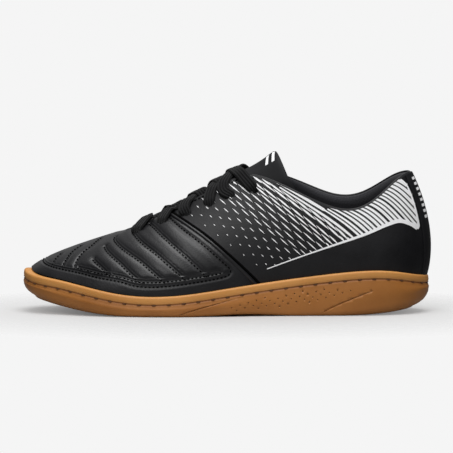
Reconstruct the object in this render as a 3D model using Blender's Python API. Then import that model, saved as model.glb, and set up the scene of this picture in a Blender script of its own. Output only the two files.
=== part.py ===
"""A left indoor soccer shoe, built as its maker would: cup sole, insole, hollow upper, quilted vamp panel,
heel strip, padded collar lining, tongue and laces. Metres, +Z up, toe towards -X, inner side towards +Y.

Everything follows one surface, the outside of the upper. Thirteen sections run from the toe to the heel. Each
has a foot point, where the wall meets the footbed, and a top point, on the edge of the throat or collar. The
wall between them is a cubic curve, and smooth closed curves join the sections all round the shoe.
"""

import math

import bmesh
import bpy
import numpy as np
from mathutils import Vector

# Overall sizes
LENGTH = 0.290  # toe of the sole to the bulge of the heel
BALL_WIDTH = 0.095  # upper across the ball, at the footbed
HEEL_WIDTH = 0.066  # upper across the heel, at the footbed
THROAT_WIDTH = 0.034  # between the edges of the throat at its top
COLLAR_WIDTH = 0.062  # across the collar
THROAT_FOOT_HEIGHT = 0.0570  # floor to the foot of the throat
THROAT_TOP_HEIGHT = 0.0975  # floor to the top corner of the throat
COLLAR_DIP_HEIGHT = 0.0745  # floor to the lowest point of the collar, on the outer side
HEEL_TOP_HEIGHT = 0.0995  # floor to the top of the heel
TONGUE_TOP_HEIGHT = 0.1145  # floor to the tip of the tongue

# Sole
TOE_SPRING = 0.0135  # how far the toe of the sole stands off the floor
TOE_SPRING_START = 0.280  # share of the length, from the toe, where the sole leaves the floor
HEEL_LIFT = 0.006  # rise of the sole's back edge
HEEL_LIFT_START = 0.78  # share of the length where the heel starts to rise
ARCH_RISE = 0.0014  # the waist of the sole clears the floor
ARCH_START = 0.41
ARCH_END = 0.68
FOREFOOT_FLOOR = 0.008  # sole under the footbed at the ball
HEEL_FLOOR = 0.015  # sole under the footbed at the heel
BAND = 0.0058  # height of the band round the top of the sole
GROOVE_DEPTH = 0.0009
GROOVE_HALF_WIDTH = 0.0007
BAND_STEP = 0.0004  # the band stands this far back from the wall under it
BAND_ROUND = 0.0016  # rounding of the band's top edge
SOLE_BULGE = 0.0007  # the side wall is fullest half way down
TREAD_DEPTH = 0.0022
TREAD_WIDTH = 0.0024
TREAD_PITCH = 0.0150  # from one zigzag groove to the next
TREAD_ZIGZAG = 0.0035
TREAD_ZIGZAG_RUN = 0.007  # from one bend of a groove to the next
TREAD_BORDER = 0.008  # plain rubber round the tread
TREAD_ZONES = [(0.075, 0.455), (0.735, 0.935)]  # from and to, as shares of the length
PIVOT_ALONG = 0.335  # share of the length at the middle of the turning ring under the ball
PIVOT_RADIUS = 0.0155
PIVOT_SIDES = 24
CUT_BELOW = 0.010  # cutters reach this far below the floor
ARC_DEPTH = 0.0008  # of the two moulded arcs on the outer side
ARC_WIDTH = 0.0006
ARC_REACH = 0.0030  # how far the arc cutter stands out of the wall
# Each arc: from and to, as shares of the length, and its height at both ends, as a share of the side wall at
# the ball
SIDE_ARCS = [(0.385, 0.560, 0.06, 1.02), (0.735, 0.850, 0.20, 1.18)]

# Upper and what lies on and in it
WALL = 0.0020
FIT_GAP = 0.0003  # between pieces that touch
VAMP_GAP = 0.0004  # more than the rest, because its back edge slants across the upper's faces
VAMP_THICKNESS = 0.0011
STRIP_THICKNESS = 0.0008
LINING_THICKNESS = 0.0048
LINING_DEPTH_HEEL = 0.034
LINING_DEPTH_SIDE = 0.022
INSOLE_THICKNESS = 0.0042
INSOLE_BRIM = 0.0015  # how far its edge rises up the wall
INSOLE_BRIM_WIDTH = 0.004
TONGUE_THICKNESS = 0.0030
TONGUE_DROP = 0.0012  # how far it draws in from the wall where it leaves the throat
TONGUE_TUCK = 0.014  # how far the tongue reaches under the edges of the throat
TONGUE_TIP_ALONG = 0.619
TONGUE_SIDE_ALONG = 0.668
TONGUE_SIDE_HEIGHT = 0.086  # floor to the corners of its free end
TONGUE_END_HALF_WIDTH = 0.0225
TONGUE_SWELL = 0.0030
TONGUE_LANES = (-2, -1.5, -1, -0.66, -0.33, 0, 0.33, 0.66, 1, 1.5, 2)
TONGUE_SECTIONS = (0, 0.5, 1, 1.5, 2, 3, 4, 5, 6, 6.7)
# How far the middle and the sides of the tongue are on the way to its free end
TONGUE_FREE_ROWS = [(0.34, 0.26), (0.66, 0.60), (1.0, 1.0)]
EYELETS = 6  # on each side
EYELET_FIRST = 0.312  # shares of the length at which the throat's edge passes the first and the last
EYELET_LAST = 0.562
EYELET_RADIUS = 0.0019
EYELET_SIDES = 6
EYELET_INSET = 0.0130  # from the edge of the throat
LACE_WIDTH = 0.0062
LACE_THICKNESS = 0.0016
LACE_CLEARANCE = 0.0006
LACE_LIFT = 0.0008  # of the upper lace where two cross
LACE_BENDS = 8  # points along one crossing

# The foot points: share of the length, the width they follow, and the outer and inner share of that width
FOOT = [
    # along, width, outer, inner
    (0.0125, BALL_WIDTH, -0.095, 0.095),  # tip of the toe, towards the inner side
    (0.038, BALL_WIDTH, 0.153, 0.310),
    (0.096, BALL_WIDTH, 0.300, 0.426),
    (0.178, BALL_WIDTH, 0.416, 0.474),
    (0.273, BALL_WIDTH, 0.484, 0.479),  # inner ball
    (0.379, BALL_WIDTH, 0.500, 0.432),  # outer ball
    (0.485, BALL_WIDTH, 0.458, 0.358),
    (0.590, HEEL_WIDTH, 0.576, 0.447),  # waist
    (0.695, HEEL_WIDTH, 0.530, 0.440),
    (0.802, HEEL_WIDTH, 0.515, 0.470),
    (0.889, HEEL_WIDTH, 0.455, 0.447),
    (0.951, HEEL_WIDTH, 0.273, 0.280),
    (0.974, HEEL_WIDTH, 0.000, 0.000),  # back of the heel
]

# The top points: along, the width and the height that they follow, and the outer and inner shares of both
TOP = [
    # along, width, outer, inner, height, outer, inner
    (0.254, THROAT_WIDTH, -0.06, 0.06, THROAT_FOOT_HEIGHT, 1.000, 1.000),
    (0.257, THROAT_WIDTH, 0.09, 0.21, THROAT_FOOT_HEIGHT, 0.998, 0.998),
    (0.267, THROAT_WIDTH, 0.20, 0.31, THROAT_FOOT_HEIGHT, 1.010, 1.010),
    (0.295, THROAT_WIDTH, 0.27, 0.37, THROAT_TOP_HEIGHT, 0.630, 0.630),
    (0.343, THROAT_WIDTH, 0.32, 0.39, THROAT_TOP_HEIGHT, 0.698, 0.698),
    (0.409, THROAT_WIDTH, 0.37, 0.41, THROAT_TOP_HEIGHT, 0.808, 0.808),
    (0.485, THROAT_WIDTH, 0.43, 0.44, THROAT_TOP_HEIGHT, 0.925, 0.928),
    (0.561, THROAT_WIDTH, 0.50, 0.50, THROAT_TOP_HEIGHT, 1.000, 1.020),
    (0.667, COLLAR_WIDTH, 0.475, 0.46, COLLAR_DIP_HEIGHT, 1.155, 1.245),
    (0.764, COLLAR_WIDTH, 0.50, 0.485, COLLAR_DIP_HEIGHT, 1.000, 1.105),
    (0.843, COLLAR_WIDTH, 0.435, 0.43, COLLAR_DIP_HEIGHT, 1.040, 1.130),
    (0.915, COLLAR_WIDTH, 0.245, 0.245, HEEL_TOP_HEIGHT, 0.945, 0.970),
    (0.950, COLLAR_WIDTH, 0.000, 0.000, HEEL_TOP_HEIGHT, 1.000, 1.000),
]

# The wall between them: where its two handles stand. Rise and drop are shares of the wall's height, reach is
# a share of the way out to the foot point, and the two swells follow WALL_SWELL
WALL_SWELL = 0.005
WALL_SHAPE = [
    # rise, low swell, reach, drop, top swell
    (0.34, 1.40, 0.54, 0.32, 0.0),
    (0.34, 1.30, 0.56, 0.32, 0.0),
    (0.35, 0.85, 0.58, 0.31, 0.0),
    (0.34, 0.80, 0.62, 0.30, 0.0),
    (0.33, 0.80, 0.68, 0.32, 0.0),
    (0.30, 0.80, 0.72, 0.33, 0.0),
    (0.30, 0.80, 0.76, 0.34, 0.1),
    (0.30, 0.80, 0.80, 0.36, 0.3),
    (0.30, 0.90, 0.55, 0.35, 0.8),
    (0.33, 0.95, 0.55, 0.33, 0.8),
    (0.33, 1.10, 0.60, 0.33, 0.7),
    (0.32, 1.80, 0.72, 0.32, 0.9),
    (0.30, 2.60, 0.80, 0.30, 1.4),
]

# The sole at each section: height of its side wall, outer and inner, how far it stands out beyond the upper,
# and the rounding of its lower edge
SOLE = [
    # outer wall, inner wall, ledge, lower round
    (0.0302, 0.0302, 0.0064, 0.0095),
    (0.0272, 0.0275, 0.0056, 0.0090),
    (0.0240, 0.0245, 0.0040, 0.0070),
    (0.0192, 0.0200, 0.0040, 0.0050),
    (0.0146, 0.0155, 0.0040, 0.0036),
    (0.0146, 0.0160, 0.0040, 0.0032),
    (0.0186, 0.0210, 0.0040, 0.0032),
    (0.0230, 0.0262, 0.0040, 0.0032),
    (0.0270, 0.0298, 0.0038, 0.0034),
    (0.0304, 0.0312, 0.0036, 0.0044),
    (0.0308, 0.0308, 0.0032, 0.0070),
    (0.0276, 0.0276, 0.0026, 0.0100),
    (0.0266, 0.0266, 0.0022, 0.0120),
]

# The seam at the back of the vamp: section count from the toe, at shares of the wall from its foot to its top
SEAM = [(0.12, 6.87), (0.2, 6.68), (0.4, 6.18), (0.6, 5.65), (0.8, 5.02), (1.0, 4.33)]

SECTIONS = len(FOOT) - 1
ROUND = 2 * SECTIONS  # sections all round: outer side, heel, inner side
STEPS = 3  # faces between two sections
ROWS = (0, 0.10, 0.21, 0.33, 0.46, 0.59, 0.72, 0.84, 0.93, 0.985)  # shares of the wall where faces meet
LEAST_ROW = 0.012  # a row nearer than this to an edge is moved onto it
COLUMNS = ROUND * STEPS
OUTER, INNER = -1, 1


def place(along):
    """X of a share of the length, counted from the toe."""
    return LENGTH * (along - 0.5)


def closed_curve(points, at):
    """Smooth closed curve through the points, one point for each whole number, read at the numbers in at."""
    points = np.asarray(points, float)
    count = len(points)
    ahead, behind = np.roll(points, -1, 0), np.roll(points, 1, 0)
    matrix = 4 * np.eye(count) + np.roll(np.eye(count), 1, 0) + np.roll(np.eye(count), -1, 0)
    bend = np.linalg.solve(matrix, 6 * (ahead - 2 * points + behind))
    at = np.asarray(at, float) % count
    low = np.floor(at).astype(int) % count
    high = (low + 1) % count
    t = (at - np.floor(at)).reshape(at.shape + (1,) * (points.ndim - 1))
    s = 1 - t
    curve = points[low] * s + points[high] * t
    return curve + ((s**3 - s) * bend[low] + (t**3 - t) * bend[high]) / 6


def smooth_step(t):
    t = np.clip(t, 0.0, 1.0)
    return t * t * (3 - 2 * t)


def end_lift(x):
    """How far the toe spring and the lifted heel edge raise the sole."""
    toe = np.clip((place(TOE_SPRING_START) - x) / (LENGTH * TOE_SPRING_START), 0, None)
    heel = np.clip((x - place(HEEL_LIFT_START)) / (LENGTH * (1 - HEEL_LIFT_START)), 0, None)
    return TOE_SPRING * toe**1.9 + HEEL_LIFT * heel**2


def underside(x):
    """Height of the sole's underside: on the floor at ball and heel, raised a little between them."""
    middle = (place(ARCH_END) + place(ARCH_START)) / 2
    half = (place(ARCH_END) - place(ARCH_START)) / 2
    return end_lift(x) + ARCH_RISE * smooth_step(1 - np.abs(x - middle) / half)


def footbed(x):
    """Height of the floor of the cup, on which insole and upper stand."""
    back = smooth_step((x - place(0.33)) / (LENGTH * 0.42))
    lift = end_lift(x) * np.where(x < 0, 1.0, 0.2)
    return lift + FOREFOOT_FLOOR + (HEEL_FLOOR - FOREFOOT_FLOOR) * back


def all_round(table):
    """A row for each section all round, from the toe along the outer side to the heel and back."""
    outer = [(row, OUTER) for row in table]
    inner = [(row, INNER) for row in table[-2:0:-1]]
    return outer + inner


def wall_handles():
    """The four control points of the wall at every section all round."""
    foot = []
    for (along, width, outer, inner), side in all_round(FOOT):
        share = -outer if side == OUTER else inner
        x = place(along)
        foot.append((x, width * share, footbed(x)))
    foot = np.array(foot, float)
    top = []
    for (along, width, outer, inner, height, outer_rise, inner_rise), side in all_round(TOP):
        share, rise = (-outer, outer_rise) if side == OUTER else (inner, inner_rise)
        top.append((place(along), width * share, height * rise))
    top = np.array(top, float)
    step = 1e-3
    at = np.arange(ROUND)
    tangent = closed_curve(foot, at + step) - closed_curve(foot, at - step)
    outward = np.stack([tangent[:, 1], -tangent[:, 0], 0 * at], 1)
    outward /= np.linalg.norm(outward, axis=1)[:, None]
    rise, low_swell, reach, drop, top_swell = np.array([row for row, _ in all_round(WALL_SHAPE)]).T[..., None]
    across, height = foot - top, (top - foot)[:, 2:]
    across[:, 2] = 0
    up = np.array([[0, 0, 1.0]])
    low = foot + up * height * rise + outward * WALL_SWELL * low_swell
    high = top + across * reach - up * height * drop + outward * WALL_SWELL * top_swell
    return foot, low, high, top


HANDLES = wall_handles()


def wall_point(u, v):
    """Outside of the upper at section u, counted all round, and share v of the wall from foot to top."""
    u, v = np.broadcast_arrays(np.asarray(u, float), np.asarray(v, float))
    w = v[..., None]
    a, b, c, d = (closed_curve(loop, u) for loop in HANDLES)
    return a * (1 - w) ** 3 + 3 * b * w * (1 - w) ** 2 + 3 * c * w * w * (1 - w) + d * w**3


def wall_normal(u, v):
    step = 1e-3
    u, v = np.broadcast_arrays(np.asarray(u, float), np.asarray(v, float))
    along = wall_point(u + step, v) - wall_point(u - step, v)
    up = wall_point(u, v + step) - wall_point(u, v - step)
    normal = np.cross(along, up)
    return normal / np.linalg.norm(normal, axis=-1, keepdims=True)


def wall(u, v, out=0.0):
    """A point off the outside of the upper, along its normal."""
    return wall_point(u, v) + wall_normal(u, v) * np.asarray(out, float)[..., None]


def wall_share_at(u, height):
    """Share of the wall at which it reaches a height above the floor."""
    u = np.asarray(u, float)
    low, high = np.zeros(u.shape), np.ones(u.shape)
    for _ in range(30):
        middle = (low + high) / 2
        under = wall_point(u, middle)[..., 2] < height
        low, high = np.where(under, middle, low), np.where(under, high, middle)
    return (low + high) / 2


def wall_share_below_top(u, distance):
    """Share of the wall a distance below its top edge, measured along it."""
    shares = np.linspace(1, 0, 61)
    line = wall_point(np.asarray(u, float)[..., None], shares)
    run = np.cumsum(np.linalg.norm(np.diff(line, axis=-2), axis=-1), axis=-1)
    run = np.concatenate([np.zeros(run.shape[:-1] + (1,)), run], -1)
    distance = np.broadcast_to(distance, run.shape[:-1])
    flat = [np.interp(d, r, shares) for d, r in zip(distance.ravel(), run.reshape(-1, 61))]
    return np.array(flat).reshape(run.shape[:-1])


def rows_from(low):
    """The rows of the wall above a share that may change round the shoe: those below it are moved onto it."""
    rows = np.array(ROWS)[:, None]
    return np.where(rows < low + LEAST_ROW, low, rows)


def instep(k, across, out):
    """A point over the instep at section k: across runs from -1 to 1 between the edges of the throat, and
    beyond them down the wall, one more for each TONGUE_TUCK."""
    if abs(across) > 1:
        u = k if across < 0 else ROUND - k
        share = wall_share_below_top(np.array(u), (abs(across) - 1) * TONGUE_TUCK)
        return wall(np.array(u), share, out)
    step = 1e-3
    ends, slopes = [], []
    for u in (k, ROUND - k):
        ends.append(wall(np.array(u), 1.0, out))
        slopes.append((wall_point(u, 1.0) - wall_point(u, 1 - step)) / step)
    span = np.linalg.norm(ends[1] - ends[0])
    crown = 0.07 + 0.16 * smooth_step((k - 4) / 3)
    handles = [e + s / np.linalg.norm(s) * span * crown for e, s in zip(ends, slopes)]
    t = (across + 1) / 2
    a, b, c, d = ends[0], handles[0], handles[1], ends[1]
    return a * (1 - t) ** 3 + 3 * b * t * (1 - t) ** 2 + 3 * c * t * t * (1 - t) + d * t**3


def section_at(along):
    """Section number at which the top edge passes a share of the length."""
    return float(np.interp(along, [row[0] for row in TOP], range(len(TOP))))


def material(name, colour, roughness):
    made = bpy.data.materials.new(name)
    made.use_nodes = True
    shader = made.node_tree.nodes["Principled BSDF"]
    shader.inputs["Base Color"].default_value = (*colour, 1)
    shader.inputs["Roughness"].default_value = roughness
    made.diffuse_color = (*colour, 1)
    return made


def add_object(name, points, faces, finish):
    """A mesh object, with points that coincide made one, and faces that collapsed left out."""
    mesh = bpy.data.meshes.new(name)
    mesh.from_pydata([tuple(map(float, p)) for p in points], [], faces)
    shape = bmesh.new()
    shape.from_mesh(mesh)
    bmesh.ops.remove_doubles(shape, verts=shape.verts, dist=2e-5)
    bmesh.ops.recalc_face_normals(shape, faces=shape.faces)
    if shape.calc_volume(signed=True) < 0:
        bmesh.ops.reverse_faces(shape, faces=shape.faces)
    shape.to_mesh(mesh)
    shape.free()
    mesh.shade_smooth()
    mesh.set_sharp_from_angle(angle=math.radians(40))
    made = bpy.data.objects.new(name, mesh)
    bpy.context.scene.collection.objects.link(made)
    if finish:
        made.data.materials.append(finish)
    return made


def grid_faces(rows, columns, closed_rows=False, closed_columns=False):
    """Triangles of a grid whose points are stored row after row. All quads are split along the same diagonal,
    so that two grids laid on one another stay apart."""
    faces = []
    for i in range(rows if closed_rows else rows - 1):
        for j in range(columns if closed_columns else columns - 1):
            a, b = i * columns, (i + 1) % rows * columns
            c = (j + 1) % columns
            faces.append((a + j, a + c, b + c))
            faces.append((a + j, b + c, b + j))
    return faces


def shell(name, outside, inside, finish, closed_columns=False, folded=False):
    """A solid between two grids of points of the same size. A grid closed round is a hollow shell, and the
    first row of a folded one needs no rim, because its two halves lie on one another."""
    rows, columns = outside.shape[:2]
    points = np.concatenate([outside.reshape(-1, 3), inside.reshape(-1, 3)])
    near = grid_faces(rows, columns, closed_columns=closed_columns)
    far = [tuple(n + rows * columns for n in face[::-1]) for face in near]
    rim = []
    last = columns if closed_columns else columns - 1
    for row in (rows - 1,) if folded else (0, rows - 1):
        for j in range(last):
            a, b = row * columns + j, row * columns + (j + 1) % columns
            rim.append((a, b, b + rows * columns, a + rows * columns))
    if not closed_columns:
        for column in (0, columns - 1):
            for i in range(rows - 1):
                a, b = i * columns + column, (i + 1) * columns + column
                rim.append((a, b, b + rows * columns, a + rows * columns))
    return add_object(name, points, near + far + rim, finish)


def floor_across(loop, lanes, height):
    """Points and faces that fill a closed loop straight across, from its outer side to its inner side.

    The loop's own points come first. height(points) sets Z of the rest, or leaves them as they are."""
    count = len(loop)
    points = list(loop)
    rows = [[0] * (lanes + 1)]
    for j in range(1, count // 2):
        a, b = loop[j], loop[count - j]
        row = [j]
        for lane in range(1, lanes):
            row.append(len(points))
            points.append(height(a + (b - a) * lane / lanes))
        rows.append(row + [count - j])
    rows.append([count // 2] * (lanes + 1))
    faces = []
    for near, far in zip(rows, rows[1:]):
        for lane in range(lanes):
            face = [near[lane], near[lane + 1], far[lane + 1], far[lane]]
            face = [n for i, n in enumerate(face) if n != face[i - 1]]
            if len(face) > 2:
                faces.append(tuple(face))
    return points, faces


def fill_ends(rings, first_height, last_height, lanes=3):
    """Points and faces of a solid with the rings as its side and both end loops filled straight across."""
    count = len(rings[0])
    points = [p for one in rings for p in one]
    faces = grid_faces(len(rings), count, closed_columns=True)
    ends = ((rings[0], first_height, 0), (rings[-1], last_height, len(points) - count))
    for loop, height, start in ends:
        more, its_faces = floor_across(loop, lanes, height)
        moved = [n + start if n < count else n - count + len(points) for n in range(len(more))]
        points += more[count:]
        faces += [tuple(moved[n] for n in face) for face in its_faces]
    return points, faces


def cut(target, tool):
    """Takes the tool's shape out of the target, and keeps the tool as a hidden helper."""
    tool.hide_render = True
    tool.display_type = "WIRE"
    modifier = target.modifiers.new("cut_" + tool.name, "BOOLEAN")
    modifier.operation = "DIFFERENCE"
    modifier.solver = "EXACT"
    modifier.object = tool


def sole_heights(u):
    """Height of the sole's side wall, its ledge and its lower rounding, at section u all round."""
    rows = [(row[0] if side == OUTER else row[1], row[2], row[3]) for row, side in all_round(SOLE)]
    return np.moveaxis(closed_curve(rows, u), -1, 0)


def plan_outward(points):
    """Horizontal outward direction at each point of a closed loop from the toe along the outer side."""
    tangent = np.roll(points, -1, 0) - np.roll(points, 1, 0)
    outward = np.stack([tangent[:, 1], -tangent[:, 0], 0 * tangent[:, 0]], 1)
    return outward / np.linalg.norm(outward, axis=1)[:, None]


def outsole(finish):
    u = np.arange(COLUMNS) / STEPS
    wall_height, ledge, lower_round = sole_heights(u)
    edge_share = wall_share_at(u, wall_height)
    edge = wall(u, edge_share, FIT_GAP)
    outward = plan_outward(edge)
    outer = edge + outward * (ledge[:, None] - FIT_GAP)
    under = underside(outer[:, 0])
    groove = wall_height - BAND
    mid = (under + lower_round + groove) / 2

    def ring(inset, height):
        points = outer - outward * np.broadcast_to(inset, under.shape)[:, None]
        points[:, 2] = height
        return points

    flat = ring(lower_round, 0)
    flat[:, 2] = underside(flat[:, 0])
    rim = np.stack([edge[:, 0], edge[:, 1], wall_height], 1)
    rings = [wall(u, 0.0, FIT_GAP) - [0, 0, FIT_GAP]]
    for row in ROWS[1:3]:
        on_rim = (row > edge_share - LEAST_ROW)[:, None]
        rings.append(np.where(on_rim, rim, wall(u, row, FIT_GAP)))
    rings += [
        rim,
        ring(BAND_STEP + BAND_ROUND * 0.45, wall_height - BAND_ROUND * 0.25),
        ring(BAND_STEP, wall_height - BAND_ROUND),
        ring(BAND_STEP, groove + GROOVE_HALF_WIDTH),
        ring(GROOVE_DEPTH, groove),
        ring(0.0, groove - GROOVE_HALF_WIDTH),
        ring(-SOLE_BULGE, mid),
        ring(0.0, under + lower_round),
        ring(lower_round * 0.30, under + lower_round * 0.28),
        flat,
    ]

    def on_underside(p):
        return np.array([p[0], p[1], underside(p[0])])

    def on_footbed(p):
        return np.array([p[0], p[1], footbed(p[0]) - FIT_GAP])

    points, faces = fill_ends(rings, on_footbed, on_underside)
    made = add_object("outsole", points, faces, finish)
    cut(made, tread(flat))
    cut(made, side_arcs(u, ring))
    return made


def strip_prism(path, half_width, top, bottom):
    """Points and faces of a flat-sided strip that follows a path in plan, from the heights bottom to top."""
    path = np.asarray(path, float)
    tangent = np.gradient(path, axis=0)
    side = np.stack([-tangent[:, 1], tangent[:, 0]], 1)
    side /= np.linalg.norm(side, axis=1)[:, None]
    left, right = path + side * half_width, path - side * half_width
    rows = []
    for a, b, p in zip(left, right, path):
        high, low = top(p[0]), bottom
        rows.append([(*a, high), (*b, high), (*b, low), (*a, low)])
    points = [p for row in rows for p in row]
    faces = grid_faces(len(rows), 4, closed_columns=True)
    last = 4 * (len(rows) - 1)
    return points, faces + [(0, 1, 2, 3), (last + 3, last + 2, last + 1, last)]


def join_shapes(name, shapes):
    points, faces = [], []
    for more, its_faces in shapes:
        faces += [tuple(n + len(points) for n in face) for face in its_faces]
        points += list(more)
    return add_object(name, points, faces, None)


def tread_top(x):
    return underside(x) + TREAD_DEPTH


def tread(outline):
    """Cutter for the main tread: zigzag grooves across ball and heel, and a turning ring under the ball."""
    centre = np.array([place(PIVOT_ALONG), 0.0])
    half = len(outline) // 2
    outer, inner = outline[:half], outline[half:][::-1]
    shapes = []
    for start, end in TREAD_ZONES:
        x = place(start)
        while x < place(end):
            low = np.interp(x, outer[:, 0], outer[:, 1]) + TREAD_BORDER
            high = np.interp(x, inner[:, 0], inner[:, 1]) - TREAD_BORDER
            count = max(3, int(round((high - low) / TREAD_ZIGZAG_RUN)))
            across = np.linspace(low, high, count)
            zigzag = x + TREAD_ZIGZAG * (np.arange(count) % 2 - 0.5)
            path = np.stack([zigzag, across], 1)
            clear = np.linalg.norm(path - centre, axis=1) > PIVOT_RADIUS + 2 * TREAD_WIDTH
            for run in np.split(np.arange(count), np.where(np.diff(clear))[0] + 1):
                if clear[run[0]] and len(run) > 2:
                    shapes.append(strip_prism(path[run], TREAD_WIDTH / 2, tread_top, -CUT_BELOW))
            x += TREAD_PITCH
    turn = 2 * math.pi * (np.arange(PIVOT_SIDES) + 0.5) / PIVOT_SIDES
    rings = []
    for radius in (PIVOT_RADIUS - TREAD_WIDTH / 2, PIVOT_RADIUS + TREAD_WIDTH / 2):
        for height in (-CUT_BELOW, TREAD_DEPTH):
            circle = centre + radius * np.stack([np.cos(turn), np.sin(turn)], 1)
            rings.append([(x, y, height) for x, y in circle])
    rings = [rings[0], rings[1], rings[3], rings[2]]
    faces = grid_faces(4, len(turn), closed_rows=True, closed_columns=True)
    shapes.append(([p for one in rings for p in one], faces))
    return join_shapes("tread_cutter", shapes)


def side_arcs(u, ring):
    """Cutter for the two moulded arcs on the outer side of the sole."""
    outer = ring(-SOLE_BULGE, 0.0)
    shapes = []
    for start, end, low, high in SIDE_ARCS:
        sections = []
        for t in np.linspace(0, 1, 9):
            x = place(start + (end - start) * t)
            section = np.interp(x, outer[: COLUMNS // 2, 0], u[: COLUMNS // 2])
            point = closed_curve(outer, section * STEPS)
            away = closed_curve(plan_outward(outer), section * STEPS)
            height = SOLE[5][0] * (low + (high - low) * t**0.85)
            spread = 4 * ARC_WIDTH * (1.15 - t)
            deep = point - away * (ARC_DEPTH * (1.1 - 0.8 * t) + SOLE_BULGE)
            clear = point + away * ARC_REACH
            sections.append(
                [(*deep[:2], height), (*clear[:2], height + spread), (*clear[:2], height - spread)]
            )
        points = [p for one in sections for p in one]
        faces = grid_faces(len(sections), 3, closed_columns=True)
        shapes.append((points, faces + [(0, 1, 2), (len(points) - 1, len(points) - 2, len(points) - 3)]))
    return join_shapes("arc_cutter", shapes)


def insole(finish):
    u = np.arange(COLUMNS) / STEPS
    inside = -(WALL + FIT_GAP)
    brim = wall_share_at(u, wall_point(u, 0.0)[:, 2] + INSOLE_THICKNESS + INSOLE_BRIM)
    rings = [wall(u, 0.0, inside), wall(u, brim, inside - FIT_GAP)]
    inner = rings[1] - plan_outward(rings[1]) * INSOLE_BRIM_WIDTH
    inner[:, 2] = footbed(inner[:, 0]) + INSOLE_THICKNESS
    rings.append(inner)

    def on_top(p):
        return np.array([p[0], p[1], footbed(p[0]) + INSOLE_THICKNESS])

    def underneath(p):
        return np.array([p[0], p[1], footbed(p[0])])

    points, faces = fill_ends(rings, underneath, on_top)
    return add_object("insole", points, faces, finish)


def eyelets():
    """Section of each lace hole, from the foot of the throat up."""
    return [section_at(along) for along in np.linspace(EYELET_FIRST, EYELET_LAST, EYELETS)]


def eyelet_cutter(name, sections):
    """Round pegs through the wall at the lace holes of both sides."""
    shapes = []
    for k in sections:
        for side in (OUTER, INNER):
            across = side * (1 + EYELET_INSET / TONGUE_TUCK)
            low, high = instep(k, across, -3 * WALL), instep(k, across, 3 * WALL)
            axis = Vector(high - low).normalized()
            turn = axis.to_track_quat("Z", "Y")
            rings = []
            for end in (low, high):
                for step in range(EYELET_SIDES):
                    angle = 2 * math.pi * step / EYELET_SIDES
                    spoke = Vector((math.cos(angle), math.sin(angle), 0)) * EYELET_RADIUS
                    rings.append(Vector(end) + turn @ spoke)
            ends = [tuple(range(EYELET_SIDES)), tuple(range(2 * EYELET_SIDES - 1, EYELET_SIDES - 1, -1))]
            shapes.append((rings, grid_faces(2, EYELET_SIDES, closed_columns=True) + ends))
    return join_shapes(name, shapes)


def upper(finish):
    """The hollow shell. Its wall is thin at the edges of throat and collar, which are rounded."""
    u = np.arange(COLUMNS) / STEPS
    rows = np.array(ROWS)[:, None]
    outside = wall(u[None], rows, 0.0)
    inside = wall(u[None], rows, -WALL)
    edge = wall(u[None], np.array([[1.0]]), -WALL / 2)
    outside = np.concatenate([outside, edge])
    inside = np.concatenate([inside, edge])
    inside[0, :, 2] = outside[0, :, 2]
    made = shell("upper", outside, inside, finish, closed_columns=True)
    cut(made, eyelet_cutter("upper_eyelet_cutter", eyelets()))
    return made


def vamp_panel(finish):
    """The quilted vamp, laid on the upper from the toe back to the slanting seam."""
    seam_share, seam_section = np.array(SEAM).T
    ends = np.interp(ROWS, seam_share, seam_section)[:, None]
    reach = math.ceil(seam_section.max() * STEPS)
    columns = np.arange(-reach, reach + 1)[None] / STEPS
    u = np.where(np.abs(columns) > ends - 0.2 / STEPS, np.sign(columns) * ends, columns)
    foot = wall_share_at(u, sole_heights(u % ROUND)[0] + FIT_GAP)
    rows = np.array(ROWS)[:, None]
    v = np.where(rows < foot + LEAST_ROW, foot, rows)
    outside = wall(u, v, VAMP_GAP + VAMP_THICKNESS)
    inside = wall(u, v, VAMP_GAP)
    lowest = np.where(v == foot, inside[..., 2], 0)
    outside[..., 2] = np.maximum(outside[..., 2], lowest)
    made = shell("vamp_panel", outside, inside, finish)
    cut(made, eyelet_cutter("vamp_eyelet_cutter", [k for k in eyelets() if k < seam_section.min()]))
    return made


def heel_strip(finish):
    """The strip over the back seam, from the sole to the top of the heel."""
    u = SECTIONS + np.arange(-2, 3) / STEPS
    v = rows_from(wall_share_at(u, sole_heights(u)[0] + FIT_GAP))
    outside = wall(u[None], v, FIT_GAP + STRIP_THICKNESS)
    inside = wall(u[None], v, FIT_GAP)
    return shell("heel_strip", outside, inside, finish)


def collar_lining(finish):
    """The padded lining, from one front corner of the collar round the heel to the other."""
    first = 7 + 2 / STEPS
    u = np.arange(first, ROUND - first + 0.5 / STEPS, 1 / STEPS)
    back = smooth_step(1 - abs(u - SECTIONS) / 3.2)
    depth = LINING_DEPTH_SIDE + (LINING_DEPTH_HEEL - LINING_DEPTH_SIDE) * back
    fade = smooth_step((SECTIONS - first - abs(u - SECTIONS)) / 1.2 + 0.25)
    low = wall_share_below_top(u, depth)
    v = rows_from(low)
    down = (ROWS[-1] - v) / (ROWS[-1] - low)
    full = np.interp(down, [0, 0.1, 0.3, 0.5, 0.75, 1.0], [0.3, 0.85, 1.0, 0.85, 0.5, 0.14])
    outside = wall(u[None], v, -(WALL + FIT_GAP))
    inside = wall(u[None], v, -(WALL + FIT_GAP) - LINING_THICKNESS * full * fade)
    return shell("collar_lining", outside, inside, finish)


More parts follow.
